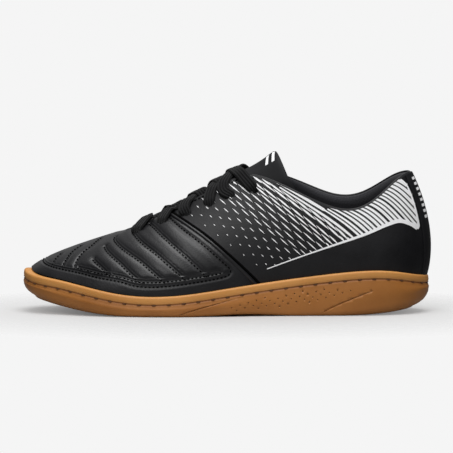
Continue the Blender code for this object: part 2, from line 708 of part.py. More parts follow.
def tongue_sheet():
    """The top of the tongue: rows under the edges of the throat, then the free end above the collar."""
    rows = []
    for k in TONGUE_SECTIONS:
        under = WALL + 2 * FIT_GAP + TONGUE_DROP * smooth_step((k - 5) / 1.7)
        rows.append([instep(k, lane, -under) for lane in TONGUE_LANES])
    last = np.array(rows[-1])
    sides = np.abs(np.array(TONGUE_LANES)) / 2
    turn = np.array(TONGUE_LANES) / 2 * math.pi / 2
    end = np.stack(
        [
            place(TONGUE_TIP_ALONG + (TONGUE_SIDE_ALONG - TONGUE_TIP_ALONG) * sides**1.5),
            TONGUE_END_HALF_WIDTH * np.sin(turn),
            TONGUE_SIDE_HEIGHT + (TONGUE_TOP_HEIGHT - TONGUE_SIDE_HEIGHT) * np.cos(turn) ** 1.2,
        ],
        1,
    )
    for middle, side in TONGUE_FREE_ROWS:
        go = (middle + (side - middle) * sides)[:, None]
        row = last + (end - last) * go
        row[:, 2] += TONGUE_SWELL * (1 - sides**2) * (middle < 1)
        rows.append(row)
    return np.array(rows, float)


def tongue(finish):
    """A padded sheet, closed at its foot, where both of its sides fold onto one line."""
    top = tongue_sheet()
    normal = np.cross(np.gradient(top, axis=1), np.gradient(top, axis=0))
    normal[0] = normal[1]
    normal /= np.linalg.norm(normal, axis=-1, keepdims=True)
    upward = np.where(normal[..., 2:] < 0, -normal, normal)
    slim = np.interp(np.abs(TONGUE_LANES), [0.66, 1, 1.5, 2], [1, 0.9, 0.6, 0.35])[None, :, None]
    bottom = top - upward * TONGUE_THICKNESS * slim
    for grid in (top, bottom):
        grid[0] = (grid[0] + grid[0, ::-1]) / 2
        grid[0, 2:-2] = grid[0, 2]
    return shell("tongue", top, bottom, finish, folded=True)


def lace_height(k):
    """Middle of the lace off the upper at section k: higher where the vamp panel lies under it."""
    on_panel = smooth_step((SEAM[-1][1] + 0.7 - k) / 0.5)
    return LACE_CLEARANCE + LACE_THICKNESS / 2 + (VAMP_THICKNESS + VAMP_GAP) * on_panel


def lace_strip(path, lift):
    """One stretch of flat lace along a path of (section, across, share of the lift), as a closed strip."""
    clear = [lace_height(k) + lift * share for k, _, share in path]
    centre = np.array([instep(k, c, out) for (k, c, _), out in zip(path, clear)])
    above = np.array([instep(k, c, out + LACE_THICKNESS) for (k, c, _), out in zip(path, clear)])
    tangent = np.gradient(centre, axis=0)
    up = above - centre
    side = np.cross(tangent, up)
    side /= np.linalg.norm(side, axis=1)[:, None]
    up = np.cross(side, tangent)
    up /= np.linalg.norm(up, axis=1)[:, None]
    half, thick = LACE_WIDTH / 2, LACE_THICKNESS / 2
    corners = [(-1, 0), (-0.75, -1), (0.75, -1), (1, 0), (0.75, 1), (-0.75, 1)]
    points = []
    for p, s, n in zip(centre, side, up):
        points += [p + s * half * a + n * thick * b for a, b in corners]
    sides = len(corners)
    faces = grid_faces(len(centre), sides, closed_columns=True)
    last = sides * (len(centre) - 1)
    return points, faces + [tuple(range(sides - 1, -1, -1)), tuple(range(last, last + sides))]


def laces(finish):
    """The straight bar at the foot of the throat and the crossings above it, joined into one solid."""
    holes = eyelets()
    reach = 1 + EYELET_INSET / TONGUE_TUCK
    stretches = [([(holes[0], c * reach, 0) for c in np.linspace(-1, 1, LACE_BENDS)], 0.0)]
    for low, high in zip(holes, holes[1:]):
        for side, lift in ((OUTER, 0.0), (INNER, LACE_LIFT)):
            path = []
            for t in np.linspace(0, 1, LACE_BENDS):
                path.append((low + (high - low) * t, side * reach * (1 - 2 * t), math.sin(math.pi * t)))
            stretches.append((path, lift))
    made = None
    for number, (path, lift) in enumerate(stretches):
        points, faces = lace_strip(path, lift)
        piece = add_object("laces" if made is None else f"lace_part_{number}", points, faces, finish)
        if made is None:
            made = piece
            continue
        piece.hide_render = True
        piece.display_type = "WIRE"
        modifier = made.modifiers.new(piece.name, "BOOLEAN")
        modifier.operation = "UNION"
        modifier.solver = "EXACT"
        modifier.object = piece
    return made


def stand_on_origin(pieces):
    """Puts the middle of the shoe's underside on the origin."""
    corners = np.array([v.co for piece in pieces for v in piece.data.vertices])
    low, high = corners.min(0), corners.max(0)
    holder = bpy.data.objects.new("shoe", None)
    bpy.context.scene.collection.objects.link(holder)
    holder.location = (-(low[0] + high[0]) / 2, -(low[1] + high[1]) / 2, -low[2])
    for made in bpy.data.objects:
        if made is not holder:
            made.parent = holder


def main():
    for old in list(bpy.data.objects):
        bpy.data.objects.remove(old)
    gum = material("gum_rubber", (0.45, 0.22, 0.08), 0.5)
    leather = material("synthetic_leather", (0.022, 0.022, 0.026), 0.45)
    knit = material("lining_knit", (0.02, 0.02, 0.024), 0.9)
    foam = material("insole_foam", (0.03, 0.03, 0.035), 0.9)
    cord = material("lace_weave", (0.012, 0.012, 0.013), 0.85)
    pieces = [
        outsole(gum),
        insole(foam),
        upper(leather),
        vamp_panel(leather),
        heel_strip(leather),
        collar_lining(knit),
        tongue(leather),
        laces(cord),
    ]
    stand_on_origin(pieces)


main()
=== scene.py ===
"""Dresses the left indoor soccer shoe: gum sole, quilted vamp, printed quarters, collar, tongue and laces.

The shoe is drawn on one surface, the outside of its upper, the same as in the part's source. A place on it
is a section, counted from the toe round the outer side, and a share of the wall, from its foot to its top.
"""

import math

import bmesh
import bpy
import numpy as np
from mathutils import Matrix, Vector


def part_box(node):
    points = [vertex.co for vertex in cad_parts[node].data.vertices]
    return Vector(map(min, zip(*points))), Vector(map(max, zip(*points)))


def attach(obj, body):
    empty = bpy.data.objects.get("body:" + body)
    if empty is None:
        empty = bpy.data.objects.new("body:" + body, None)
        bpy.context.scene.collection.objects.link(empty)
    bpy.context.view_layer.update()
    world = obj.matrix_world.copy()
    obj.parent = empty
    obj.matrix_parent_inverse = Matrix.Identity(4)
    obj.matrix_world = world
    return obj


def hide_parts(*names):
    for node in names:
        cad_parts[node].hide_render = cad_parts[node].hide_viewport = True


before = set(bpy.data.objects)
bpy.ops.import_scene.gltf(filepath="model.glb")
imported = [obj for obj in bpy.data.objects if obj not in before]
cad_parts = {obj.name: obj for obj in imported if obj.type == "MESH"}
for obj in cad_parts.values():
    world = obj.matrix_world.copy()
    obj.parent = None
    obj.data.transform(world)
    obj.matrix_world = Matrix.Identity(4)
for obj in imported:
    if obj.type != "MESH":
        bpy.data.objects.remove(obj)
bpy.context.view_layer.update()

# Sizes of the part, repeated from its source
LENGTH = 0.290
BALL_WIDTH = 0.095
HEEL_WIDTH = 0.066
THROAT_WIDTH = 0.034
COLLAR_WIDTH = 0.062
THROAT_FOOT_HEIGHT = 0.0570
THROAT_TOP_HEIGHT = 0.0975
COLLAR_DIP_HEIGHT = 0.0745
HEEL_TOP_HEIGHT = 0.0995
TONGUE_TOP_HEIGHT = 0.1145
TOE_SPRING = 0.0135
TOE_SPRING_START = 0.280
TOE_SPRING_CURVE = 1.9
HEEL_LIFT = 0.006
HEEL_LIFT_START = 0.78
ARCH_RISE = 0.0014
ARCH_START = 0.41
ARCH_END = 0.68
FOREFOOT_FLOOR = 0.008
HEEL_FLOOR = 0.015
FLOOR_RISE_START = 0.33  # where the floor of the cup starts to rise to the heel
FLOOR_RISE_RUN = 0.42
HEEL_LIFT_INSIDE = 0.2  # share of the heel's lift that this floor follows
BAND = 0.0058
GROOVE_DEPTH = 0.0009
GROOVE_HALF_WIDTH = 0.0007
BAND_STEP = 0.0004
BAND_ROUND = 0.0016
SOLE_BULGE = 0.0007
TREAD_DEPTH = 0.0022
TREAD_WIDTH = 0.0024
TREAD_PITCH = 0.0150
TREAD_ZIGZAG = 0.0035
TREAD_ZIGZAG_RUN = 0.007
TREAD_BORDER = 0.008
TREAD_ZONES = [(0.075, 0.455), (0.735, 0.935)]
PIVOT_ALONG = 0.335
PIVOT_RADIUS = 0.0155
ARC_DEPTH = 0.0008
ARC_WIDTH = 0.0006
ARC_REACH = 0.0030
SIDE_ARCS = [(0.385, 0.560, 0.06, 1.02), (0.735, 0.850, 0.20, 1.18)]
WALL = 0.0020
FIT_GAP = 0.0003
VAMP_GAP = 0.0004
UNDER_GAP = 0.00002  # between the vamp's underside and the upper
STRIP_THICKNESS = 0.0008
LINING_THICKNESS = 0.0048
LINING_DEPTH_HEEL = 0.034
LINING_DEPTH_SIDE = 0.022
INSOLE_THICKNESS = 0.0042
INSOLE_BRIM = 0.0015
INSOLE_BRIM_WIDTH = 0.004
TONGUE_THICKNESS = 0.0030
TONGUE_DROP = 0.0012
TONGUE_TUCK = 0.014
TONGUE_TIP_ALONG = 0.619
TONGUE_SIDE_ALONG = 0.668
TONGUE_SIDE_HEIGHT = 0.086
TONGUE_END_HALF_WIDTH = 0.0225
TONGUE_SWELL = 0.0030
TONGUE_GRID = (97, 61)  # rows and columns of its mesh
TONGUE_MARK = (91.5, 22.0)  # row and column of it where the middle of the white bars is
TONGUE_BARS = (-1.9, 1.9)  # rows off that middle
TONGUE_SAG = 0.0040  # of its padding between the laces and the tip
TONGUE_LANES = (-2, -1.5, -1, -0.66, -0.33, 0, 0.33, 0.66, 1, 1.5, 2)
TONGUE_SECTIONS = (0, 0.5, 1, 1.5, 2, 3, 4, 5, 6, 6.7)
TONGUE_BAR_REACH = (1.2, 5.0)  # rows and columns from the middle of a bar to its end
TONGUE_BAR_HALF = 0.8  # rows
TONGUE_FREE_ROWS = [(0.34, 0.26), (0.66, 0.60), (1.0, 1.0)]
EYELETS = 6
EYELET_FIRST = 0.312
EYELET_LAST = 0.562
EYELET_RADIUS = 0.0019
EYELET_INSET = 0.0130
HOLE_SIDES = 16
LACE_WIDTH = 0.0068
LACE_THICKNESS = 0.0018
LACE_RIDGE = 0.0016  # from one ridge of its braid to the next
LACE_YARN = 0.0005  # half the step of the slanted yarns
LACE_SPREAD = 1.25  # how much wider than its width a slack lace lies
LACE_SECTION = [
    # across in half widths, up in half thicknesses
    (-1, -0.25), (-0.93, -0.8), (-0.75, -1), (0, -1), (0.75, -1), (0.93, -0.8), (1, -0.25), (1, 0.25),
    (0.93, 0.8), (0.75, 1), (0.38, 1.12), (0, 1), (-0.38, 1.12), (-0.75, 1), (-0.93, 0.8), (-1, 0.25),
]
LACE_SLACK = [
    # how far it bows towards the toe, as a share of a hole's step: outer side, inner side
    (0.30, 0.10),
    (0.12, 0.15),
    (0.32, 0.10),
    (0.16, 0.15),
    (0.58, 0.28),
]
LACE_RISE = 0.0012  # of its middle off the upper
LACE_DIVE = 0.06  # share of a lace at its end over which it goes into its hole
LACE_START = -0.04  # share at which a crossing starts, down in its hole
LACE_DIVE_DEPTH = 0.0045
LACE_BAR_RISE = 0.0004  # how much higher than a crossing the straight bar lies
LACE_BAR_BOW = 0.0008
LACE_BAR_DEPTH = 0.0050
LACE_PINCH = 0.25  # share of its width that a lace loses in a hole
LACE_TUCK = (0.60, 0.76)  # shares of it between which it goes under the next one
LACE_TUCK_END = 0.82
LACE_TUCK_DEPTH = 0.0060
HOLE_ACROSS = 1 + EYELET_INSET / TONGUE_TUCK  # where the lace holes are, as counted across the instep

FOOT = [
    # along, width, outer, inner
    (0.0125, BALL_WIDTH, -0.095, 0.095),
    (0.038, BALL_WIDTH, 0.153, 0.310),
    (0.096, BALL_WIDTH, 0.300, 0.426),
    (0.178, BALL_WIDTH, 0.416, 0.474),
    (0.273, BALL_WIDTH, 0.484, 0.479),
    (0.379, BALL_WIDTH, 0.500, 0.432),
    (0.485, BALL_WIDTH, 0.458, 0.358),
    (0.590, HEEL_WIDTH, 0.576, 0.447),
    (0.695, HEEL_WIDTH, 0.530, 0.440),
    (0.802, HEEL_WIDTH, 0.515, 0.470),
    (0.889, HEEL_WIDTH, 0.455, 0.447),
    (0.951, HEEL_WIDTH, 0.273, 0.280),
    (0.974, HEEL_WIDTH, 0.000, 0.000),
]
TOP = [
    # along, width, outer, inner, height, outer, inner
    (0.254, THROAT_WIDTH, -0.06, 0.06, THROAT_FOOT_HEIGHT, 1.000, 1.000),
    (0.257, THROAT_WIDTH, 0.09, 0.21, THROAT_FOOT_HEIGHT, 0.998, 0.998),
    (0.267, THROAT_WIDTH, 0.20, 0.31, THROAT_FOOT_HEIGHT, 1.010, 1.010),
    (0.295, THROAT_WIDTH, 0.27, 0.37, THROAT_TOP_HEIGHT, 0.630, 0.630),
    (0.343, THROAT_WIDTH, 0.32, 0.39, THROAT_TOP_HEIGHT, 0.698, 0.698),
    (0.409, THROAT_WIDTH, 0.37, 0.41, THROAT_TOP_HEIGHT, 0.808, 0.808),
    (0.485, THROAT_WIDTH, 0.43, 0.44, THROAT_TOP_HEIGHT, 0.925, 0.928),
    (0.561, THROAT_WIDTH, 0.50, 0.50, THROAT_TOP_HEIGHT, 1.000, 1.020),
    (0.667, COLLAR_WIDTH, 0.475, 0.46, COLLAR_DIP_HEIGHT, 1.155, 1.245),
    (0.764, COLLAR_WIDTH, 0.50, 0.485, COLLAR_DIP_HEIGHT, 1.000, 1.105),
    (0.843, COLLAR_WIDTH, 0.435, 0.43, COLLAR_DIP_HEIGHT, 1.040, 1.130),
    (0.915, COLLAR_WIDTH, 0.245, 0.245, HEEL_TOP_HEIGHT, 0.945, 0.970),
    (0.950, COLLAR_WIDTH, 0.000, 0.000, HEEL_TOP_HEIGHT, 1.000, 1.000),
]
WALL_SWELL = 0.005
WALL_SHAPE = [
    # rise, low swell, reach, drop, top swell
    (0.34, 1.40, 0.54, 0.32, 0.0),
    (0.34, 1.30, 0.56, 0.32, 0.0),
    (0.35, 0.85, 0.58, 0.31, 0.0),
    (0.34, 0.80, 0.62, 0.30, 0.0),
    (0.33, 0.80, 0.68, 0.32, 0.0),
    (0.30, 0.80, 0.72, 0.33, 0.0),
    (0.30, 0.80, 0.76, 0.34, 0.1),
    (0.30, 0.80, 0.80, 0.36, 0.3),
    (0.30, 0.90, 0.55, 0.35, 0.8),
    (0.33, 0.95, 0.55, 0.33, 0.8),
    (0.33, 1.10, 0.60, 0.33, 0.7),
    (0.32, 1.80, 0.72, 0.32, 0.9),
    (0.30, 2.60, 0.80, 0.30, 1.4),
]
SOLE = [
    # outer wall, inner wall, ledge, lower round
    (0.0302, 0.0302, 0.0064, 0.0095),
    (0.0272, 0.0275, 0.0056, 0.0090),
    (0.0240, 0.0245, 0.0040, 0.0070),
    (0.0192, 0.0200, 0.0040, 0.0050),
    (0.0146, 0.0155, 0.0040, 0.0036),
    (0.0146, 0.0160, 0.0040, 0.0032),
    (0.0186, 0.0210, 0.0040, 0.0032),
    (0.0230, 0.0262, 0.0040, 0.0032),
    (0.0270, 0.0298, 0.0038, 0.0034),
    (0.0304, 0.0312, 0.0036, 0.0044),
    (0.0308, 0.0308, 0.0032, 0.0070),
    (0.0276, 0.0276, 0.0026, 0.0100),
    (0.0266, 0.0266, 0.0022, 0.0120),
]
SEAM = [(0.12, 6.87), (0.2, 6.68), (0.4, 6.18), (0.6, 5.65), (0.8, 5.02), (1.0, 4.33)]
SECTIONS = len(FOOT) - 1
ROUND = 2 * SECTIONS
OUTER, INNER = -1, 1
SIDE_NAMES = {OUTER: "outer", INNER: "inner"}
LACE_LEAN = {OUTER: 3.5, INNER: 1.0}  # how early a lace bows on its way from that side
LACE_LIFT = {OUTER: -0.0008, INNER: 0.0006}  # of its middle, so that one lies over the other

# Sewn lines of the vamp, as (section, share of the wall), from the instep down to the toe band
RIB_SEAMS = [
    [(2.60, 0.53), (3.02, 0.440), (3.40, 0.340)],
    [(2.48, 0.71), (3.10, 0.585), (3.60, 0.465), (4.16, 0.275)],
    [(2.20, 0.86), (3.14, 0.70), (4.04, 0.50), (4.75, 0.25)],
    [(2.90, 0.93), (3.60, 0.78), (4.43, 0.55), (5.23, 0.255)],
    [(3.75, 0.93), (4.25, 0.80), (5.08, 0.51), (5.70, 0.26)],
]
TOE_SEAMS = [
    [(0.81, 0.84), (1.48, 0.745), (1.84, 0.59), (2.21, 0.40)],
    [(0.80, 0.70), (1.43, 0.53), (1.73, 0.405)],
    [(0.72, 0.55), (1.22, 0.415)],
]
BAND_SEAM = [(0.0, 0.43), (0.94, 0.395), (2.27, 0.370), (3.10, 0.322), (3.67, 0.285), (4.10, 0.232),
             (4.60, 0.216), (5.46, 0.226), (5.98, 0.234), (6.15, 0.246), (6.19, 0.275), (6.05, 0.335),
             (5.55, 0.53), (5.05, 0.70), (4.57, 0.866), (4.36, 0.94)]
DOUBLE_GAP = 0.0021  # between the two threads of a double seam
RIB_RELIEF = 0.0011  # how far the padding of a rib stands over its seams
RIB_ROUND = 0.0042  # distance from a seam at which a rib is full
SEAM_HALF_WIDTH = 0.001302  # of the flat strip that a double seam pulls down
LOW_PADDING = 0.45  # share of the padding on the flat band and at the toe
BAND_SLOPE = 0.002  # distance over which the band rises from its seam
VAMP_SKIN = 0.0005  # of its face over the gap, where it has no padding
VAMP_GRID = (149, 561)  # rows and columns of its mesh
VAMP_REACH = 7.2  # section that its foot stays within
VAMP_TOP = 0.998  # share of the wall at which it ends
VAMP_TOP_FADE = 0.06  # share of the wall over which its relief runs out to that edge
VAMP_INNER_STEP = 4  # of which its underside has every fourth
TUCK_HEIGHT = 0.0005  # of the fine fold beside each row of stitches
TUCK_WIDTH = 0.0006
BEAD = 0.0011  # half the width of the rolled edge along the seam behind the vamp
BEAD_RISE = 0.8 * BEAD
# Painted shade: a black cord along the seam, just behind the vamp's rolled edge
SEAM_SHADE_OFFSET = 0.0010
SEAM_SHADE_WIDTH = 0.0022
SEAM_SHADE_RISE = 0.0005
CLOSING_RUN = (2.30, 6.02)  # sections where the ribs have a row of stitches of their own above the band's
CLOSING_GAP = 0.0030
STITCH_LENGTH = 0.0020
STITCH_PITCH = 0.0028
STITCH_WIDTH = 0.0009
STITCH_RISE = 0.00055  # of the rows over the vamp's gap
STITCH_SIDES = 6
STITCH_SHAPE = [
    # along, radius and height of its middle, for a stitch one long and one wide
    (-0.5, 0.22, -0.55),
    (-0.34, 0.46, 0.05),
    (0.0, 0.5, 0.22),
    (0.34, 0.46, 0.05),
    (0.5, 0.22, -0.55),
]
THROAT_STITCHES = 0.0030  # below the edge of the throat

# The print on the quarters
PRINT_EDGE = [(7.08, 0.252), (7.80, 0.366), (8.59, 0.532), (9.58, 0.700), (10.20, 0.722), (10.60, 0.690),
              (10.92, 0.612), (11.13, 0.548)]
PRINT_BACK = [(11.13, 0.548), (11.21, 0.575), (11.24, 0.69), (11.25, 0.82), (11.22, 0.92), (11.10, 0.985)]
PRINT_FRONT = [(6.96, 0.202), (6.60, 0.358), (6.30, 0.456)]  # where the first dots stand, behind the vamp
PRINT_FILM = 0.00012
STRIPE_PITCH = 0.0033  # between stripes at the vamp, and at the heel
STRIPE_PITCH_HEEL = 0.0030
STRIPE_PITCH_BACK = 0.0025
STRIPE_PERIOD = 0.0112  # from one dash of a stripe to the next
STRIPE_STAGGER = 0.68  # of a period, from one stripe to the next
STRIPE_SLOPES = (37.0, 50.0)  # degrees, away from the top edge, at the vamp and at the heel
STRIPE_SLOPES_TOP = (29.0, 17.0)  # along the top edge
STRIPE_SLOPE_REACH = 0.008
DASH_TURN = 5.0  # degrees that a dash is steeper than its stripe
DASH_LENGTHS = [
    # distance behind the first dots, length
    (0.0000, 0.0010),
    (0.0105, 0.0021),
    (0.0189, 0.0036),
    (0.0245, 0.0062),
    (0.0301, 0.0090),
    (0.0385, 0.0108),
    (0.0455, 0.0124),
    (0.0600, 0.0160),
]
DASH_WIDTHS = [(0.0, 0.00038), (0.020, 0.0005), (0.030, 0.00062), (0.045, 0.0009), (0.060, 0.0016)]
DASH_SHORTEST = 0.0009
DASHES_END = 0.058  # from here on the stripes run through
STRIPES_FULL = 0.082  # from here on they have their full width
STRIPE_STEP = 0.0005  # in which a stripe is drawn
PRINT_LIMIT = 0.28  # of the length, where it ends at the latest
STRIPE_GAP = 0.0009  # black left between two of them
STRIPE_HALF_WIDTHS = (0.0008, 0.0016)  # from where the stripes run through to where they are full
STRIPE_THINNEST = 0.0003
PRINT_EDGE_WIDTHS = [
    # share of its run, half width
    (0, 0.0003),
    (0.3, 0.0005),
    (0.75, 0.0011),
    (0.85, 0.0014),
    (0.95, 0.0013),
    (1.0, 0.0010),
]
PRINT_BACK_WIDTHS = [(0, 0.0010), (12 / 59, 0.0007), (1.0, 0.0005)]
STRIPE_NEAREST = 0.0018  # a stripe ends where it comes nearer than this to the one before it
PRINT_MARGIN = 0.0006  # between the print and the top edge
PRINT_OVERRUN = 0.0022  # how far the middle of a stripe goes on over the margin, its corners cut off

# Small things on the sole
PIT_FIRST = (0.0210, 0.0112)  # one of the pits, in the side view
PIT_STEPS = [(0.00573, 0.00159), (0.00345, -0.00197)]
PIT_FIELD = [(-0.0009, 0.0046), (0.0916, 0.0191)]
PIT_FIELD_HALF_WIDTH = 0.0046
PIT_ROWS = range(-25, 26)  # enough to cover the field both ways
PIT_SIDES = 8
PIT_RADIUS = 0.00042
PIT_DEPTH = 0.0007
DENT_PITCH = 0.0103
DENT_LENGTH = 0.0030
DENT_WIDTH = 0.0008
SOLE_STEP = 0.05  # sections between two points of the sole's loops
BAND_TURN = (90, 72, 54, 36, 18, 0)  # degrees round the upper edge of the band
GROOVE_SHAPE = [
    # height in half widths above its middle, share of its depth
    (1.3, 0.45),
    (1.0, 0.6),
    (0.5, 1.1),
    (0.0, 1.25),
    (-0.5, 1.0),
    (-1.0, 0.6),
    (-1.6, 0.42),
    (-2.6, 0.3),
]
FOOT_TURN = (15, 30, 45, 60, 75, 90)  # degrees round the lower edge
LOWER_WALL = 0.0006  # height of the side wall that the rounding leaves at least
BULGE_HEIGHT = 0.007  # height of side wall at which it bulges in full

# Small things on the upper
PIPING_RADIUS = 0.0010
CORD_SIDES = 10
COLLAR_START = 7.0  # section at which the throat ends and the collar starts
LINING_FULLNESS = [
    # share of its depth below the edge, share of its thickness
    (0, 0.25),
    (0.04, 0.6),
    (0.1, 0.86),
    (0.2, 1.0),
    (0.35, 0.97),
    (0.5, 0.84),
    (0.75, 0.5),
    (1.0, 0.1),
]
STRIP_COLUMNS = (-2, -1.93, -1.8, -1.4, -0.9, -0.45, 0, 0.45, 0.9, 1.4, 1.8, 1.93, 2)  # thirds of a section
HEEL_BARS = (0.94, 0.62, 8)  # share of the wall of the first and of the last, and their number
HEEL_BAR_HALF_HEIGHT = 0.011
HEEL_BAR_REACH = (0.24, 0.44)  # sections off the back seam

# Colours and the looks of finishes
GUM = (0.32, 0.120, 0.024)
GUM_LIGHT = (0.39, 0.155, 0.036)
# Painted light: the band's gum is lighter, as where the band's bevel faces up to the light from above
GUM_BAND_LIT = (0.54, 0.240, 0.060)
GUM_BAND_LIT_CLOUD = (0.62, 0.290, 0.082)
GUM_GROOVE = (0.32, 0.120, 0.028)
# Painted shade: dark gum for the insides of the pits and for the dents in the groove
GUM_PAINTED_SHADE = (0.10, 0.038, 0.011)
BLACK_LEATHER = (0.0055, 0.0055, 0.0065)
TONGUE_BLACK = (0.009, 0.009, 0.010)
LINING_BLACK = (0.008, 0.008, 0.010)
LINING_GREY = (0.03, 0.03, 0.035)
INSOLE_BLACK = (0.012, 0.012, 0.014)
INSOLE_GREY = (0.04, 0.04, 0.045)
# Also the finish of the painted shade line behind the vamp's rolled edge
THREAD_BLACK = (0.001, 0.001, 0.001)
LACE_MEAN = (0.005, 0.005, 0.005)
LACE_BLACK = (0.002, 0.002, 0.002)
LACE_GREY = (0.016, 0.016, 0.017)
WHITE_PRINT = (0.97, 0.97, 0.98)
LEATHER_LIGHTER = 1.5  # how much lighter its lighter places are
FILM_WORN = 0.94
NOISE_ROUGHNESS = 0.55

# The view
CAMERA_DISTANCE = 1.7
CAMERA_ELEVATION = 5  # degrees
CAMERA_LENS = 190
CAMERA_AIM = (0.0001, 0.0052, 0.0599)
PAPER = 0.913  # of the background
FLOOR = 0.54
FLOOR_SIZE = 3.0
FLOOR_OVAL = (0.8, 1, 1)  # shares of the distances that count for its fade
FLOOR_FADE = (0.055, 0.21)  # where it starts to turn clear, and where it is clear
ROOM_LOW = 0.22  # light of the room at the horizon and overhead
ROOM_HIGH = 0.80
ROOM_CLIMB = (0.0, 0.9)  # height of a direction between which the room gets lighter
ROOM_ENDS = 0.15  # share of it that is left in front of the toe and behind the heel
ROOM_TURN = (0.15, 0.8)  # how far a direction leads along the shoe while it falls to that

NUDGE = 1e-3  # of a section or a share, over which slopes are measured


# The surface of the shoe


def place(along):
    """X of a share of the length, counted from the toe."""
    return LENGTH * (along - 0.5)


def closed_curve(points, at):
    """Smooth closed curve through the points, one point for each whole number, read at the numbers in at."""
    points = np.asarray(points, float)
    count = len(points)
    ahead, behind = np.roll(points, -1, 0), np.roll(points, 1, 0)
    matrix = 4 * np.eye(count) + np.roll(np.eye(count), 1, 0) + np.roll(np.eye(count), -1, 0)
    bend = np.linalg.solve(matrix, 6 * (ahead - 2 * points + behind))
    at = np.asarray(at, float) % count
    low = np.floor(at).astype(int) % count
    high = (low + 1) % count
    t = (at - np.floor(at)).reshape(at.shape + (1,) * (points.ndim - 1))
    s = 1 - t
    curve = points[low] * s + points[high] * t
    return curve + ((s**3 - s) * bend[low] + (t**3 - t) * bend[high]) / 6


def smooth_step(t):
    """A soft step from 0 to 1 while t runs from 0 to 1."""
    t = np.clip(t, 0.0, 1.0)
    return t * t * (3 - 2 * t)


def end_lift(x):
    """How far the toe spring and the lifted heel edge raise the sole."""
    toe = np.clip((place(TOE_SPRING_START) - x) / (LENGTH * TOE_SPRING_START), 0, None)
    heel = np.clip((x - place(HEEL_LIFT_START)) / (LENGTH * (1 - HEEL_LIFT_START)), 0, None)
    return TOE_SPRING * toe**TOE_SPRING_CURVE + HEEL_LIFT * heel**2


def underside(x):
    """Height of the sole's underside."""
    middle = (place(ARCH_END) + place(ARCH_START)) / 2
    half = (place(ARCH_END) - place(ARCH_START)) / 2
    return end_lift(x) + ARCH_RISE * smooth_step(1 - np.abs(x - middle) / half)


def footbed(x):
    """Height of the floor of the cup."""
    back = smooth_step((x - place(FLOOR_RISE_START)) / (LENGTH * FLOOR_RISE_RUN))
    lift = end_lift(x) * np.where(x < 0, 1.0, HEEL_LIFT_INSIDE)
    return lift + FOREFOOT_FLOOR + (HEEL_FLOOR - FOREFOOT_FLOOR) * back


def all_round(table):
    """A row for each section all round, from the toe along the outer side to the heel and back."""
    outer = [(row, OUTER) for row in table]
    inner = [(row, INNER) for row in table[-2:0:-1]]
    return outer + inner


def wall_handles():
    """The four control points of the wall at every section all round."""
    foot = []
    for (along, width, outer, inner), side in all_round(FOOT):
        share = -outer if side == OUTER else inner
        x = place(along)
        foot.append((x, width * share, footbed(x)))
    foot = np.array(foot, float)
    top = []
    for (along, width, outer, inner, height, outer_rise, inner_rise), side in all_round(TOP):
        share, rise = (-outer, outer_rise) if side == OUTER else (inner, inner_rise)
        top.append((place(along), width * share, height * rise))
    top = np.array(top, float)
    at = np.arange(ROUND)
    tangent = closed_curve(foot, at + NUDGE) - closed_curve(foot, at - NUDGE)
    outward = np.stack([tangent[:, 1], -tangent[:, 0], 0 * at], 1)
    outward /= np.linalg.norm(outward, axis=1)[:, None]
    rise, low_swell, reach, drop, top_swell = np.array([row for row, _ in all_round(WALL_SHAPE)]).T[..., None]
    across, height = foot - top, (top - foot)[:, 2:]
    across[:, 2] = 0
    up = np.array([[0, 0, 1.0]])
    low = foot + up * height * rise + outward * WALL_SWELL * low_swell
    high = top + across * reach - up * height * drop + outward * WALL_SWELL * top_swell
    return foot, low, high, top


HANDLES = wall_handles()


def wall_point(u, v):
    """Outside of the upper at section u, counted all round, and share v of the wall from foot to top."""
    u, v = np.broadcast_arrays(np.asarray(u, float), np.asarray(v, float))
    w = v[..., None]
    a, b, c, d = (closed_curve(loop, u) for loop in HANDLES)
    return a * (1 - w) ** 3 + 3 * b * w * (1 - w) ** 2 + 3 * c * w * w * (1 - w) + d * w**3


def wall_normal(u, v):
    """Direction away from the outside of the upper."""
    u, v = np.broadcast_arrays(np.asarray(u, float), np.asarray(v, float))
    along = wall_point(u + NUDGE, v) - wall_point(u - NUDGE, v)
    up = wall_point(u, v + NUDGE) - wall_point(u, v - NUDGE)
    normal = np.cross(along, up)
    return normal / np.linalg.norm(normal, axis=-1, keepdims=True)


def wall(u, v, out=0.0):
    """A point off the outside of the upper, along its normal."""
    return wall_point(u, v) + wall_normal(u, v) * np.asarray(out, float)[..., None]


def wall_share_at(u, height):
    """Share of the wall at which it reaches a height above the floor."""
    u = np.asarray(u, float)
    low, high = np.zeros(u.shape), np.ones(u.shape)
    for _ in range(30):
        middle = (low + high) / 2
        under = wall_point(u, middle)[..., 2] < height
        low, high = np.where(under, middle, low), np.where(under, high, middle)
    return (low + high) / 2


def wall_share_below_top(u, distance):
    """Share of the wall a distance below its top edge, measured along it."""
    shares = np.linspace(1, 0, 61)
    line = wall_point(np.asarray(u, float)[..., None], shares)
    run = np.cumsum(np.linalg.norm(np.diff(line, axis=-2), axis=-1), axis=-1)
    run = np.concatenate([np.zeros(run.shape[:-1] + (1,)), run], -1)
    distance = np.broadcast_to(distance, run.shape[:-1])
    flat = [np.interp(d, r, shares) for d, r in zip(distance.ravel(), run.reshape(-1, 61))]
    return np.array(flat).reshape(run.shape[:-1])


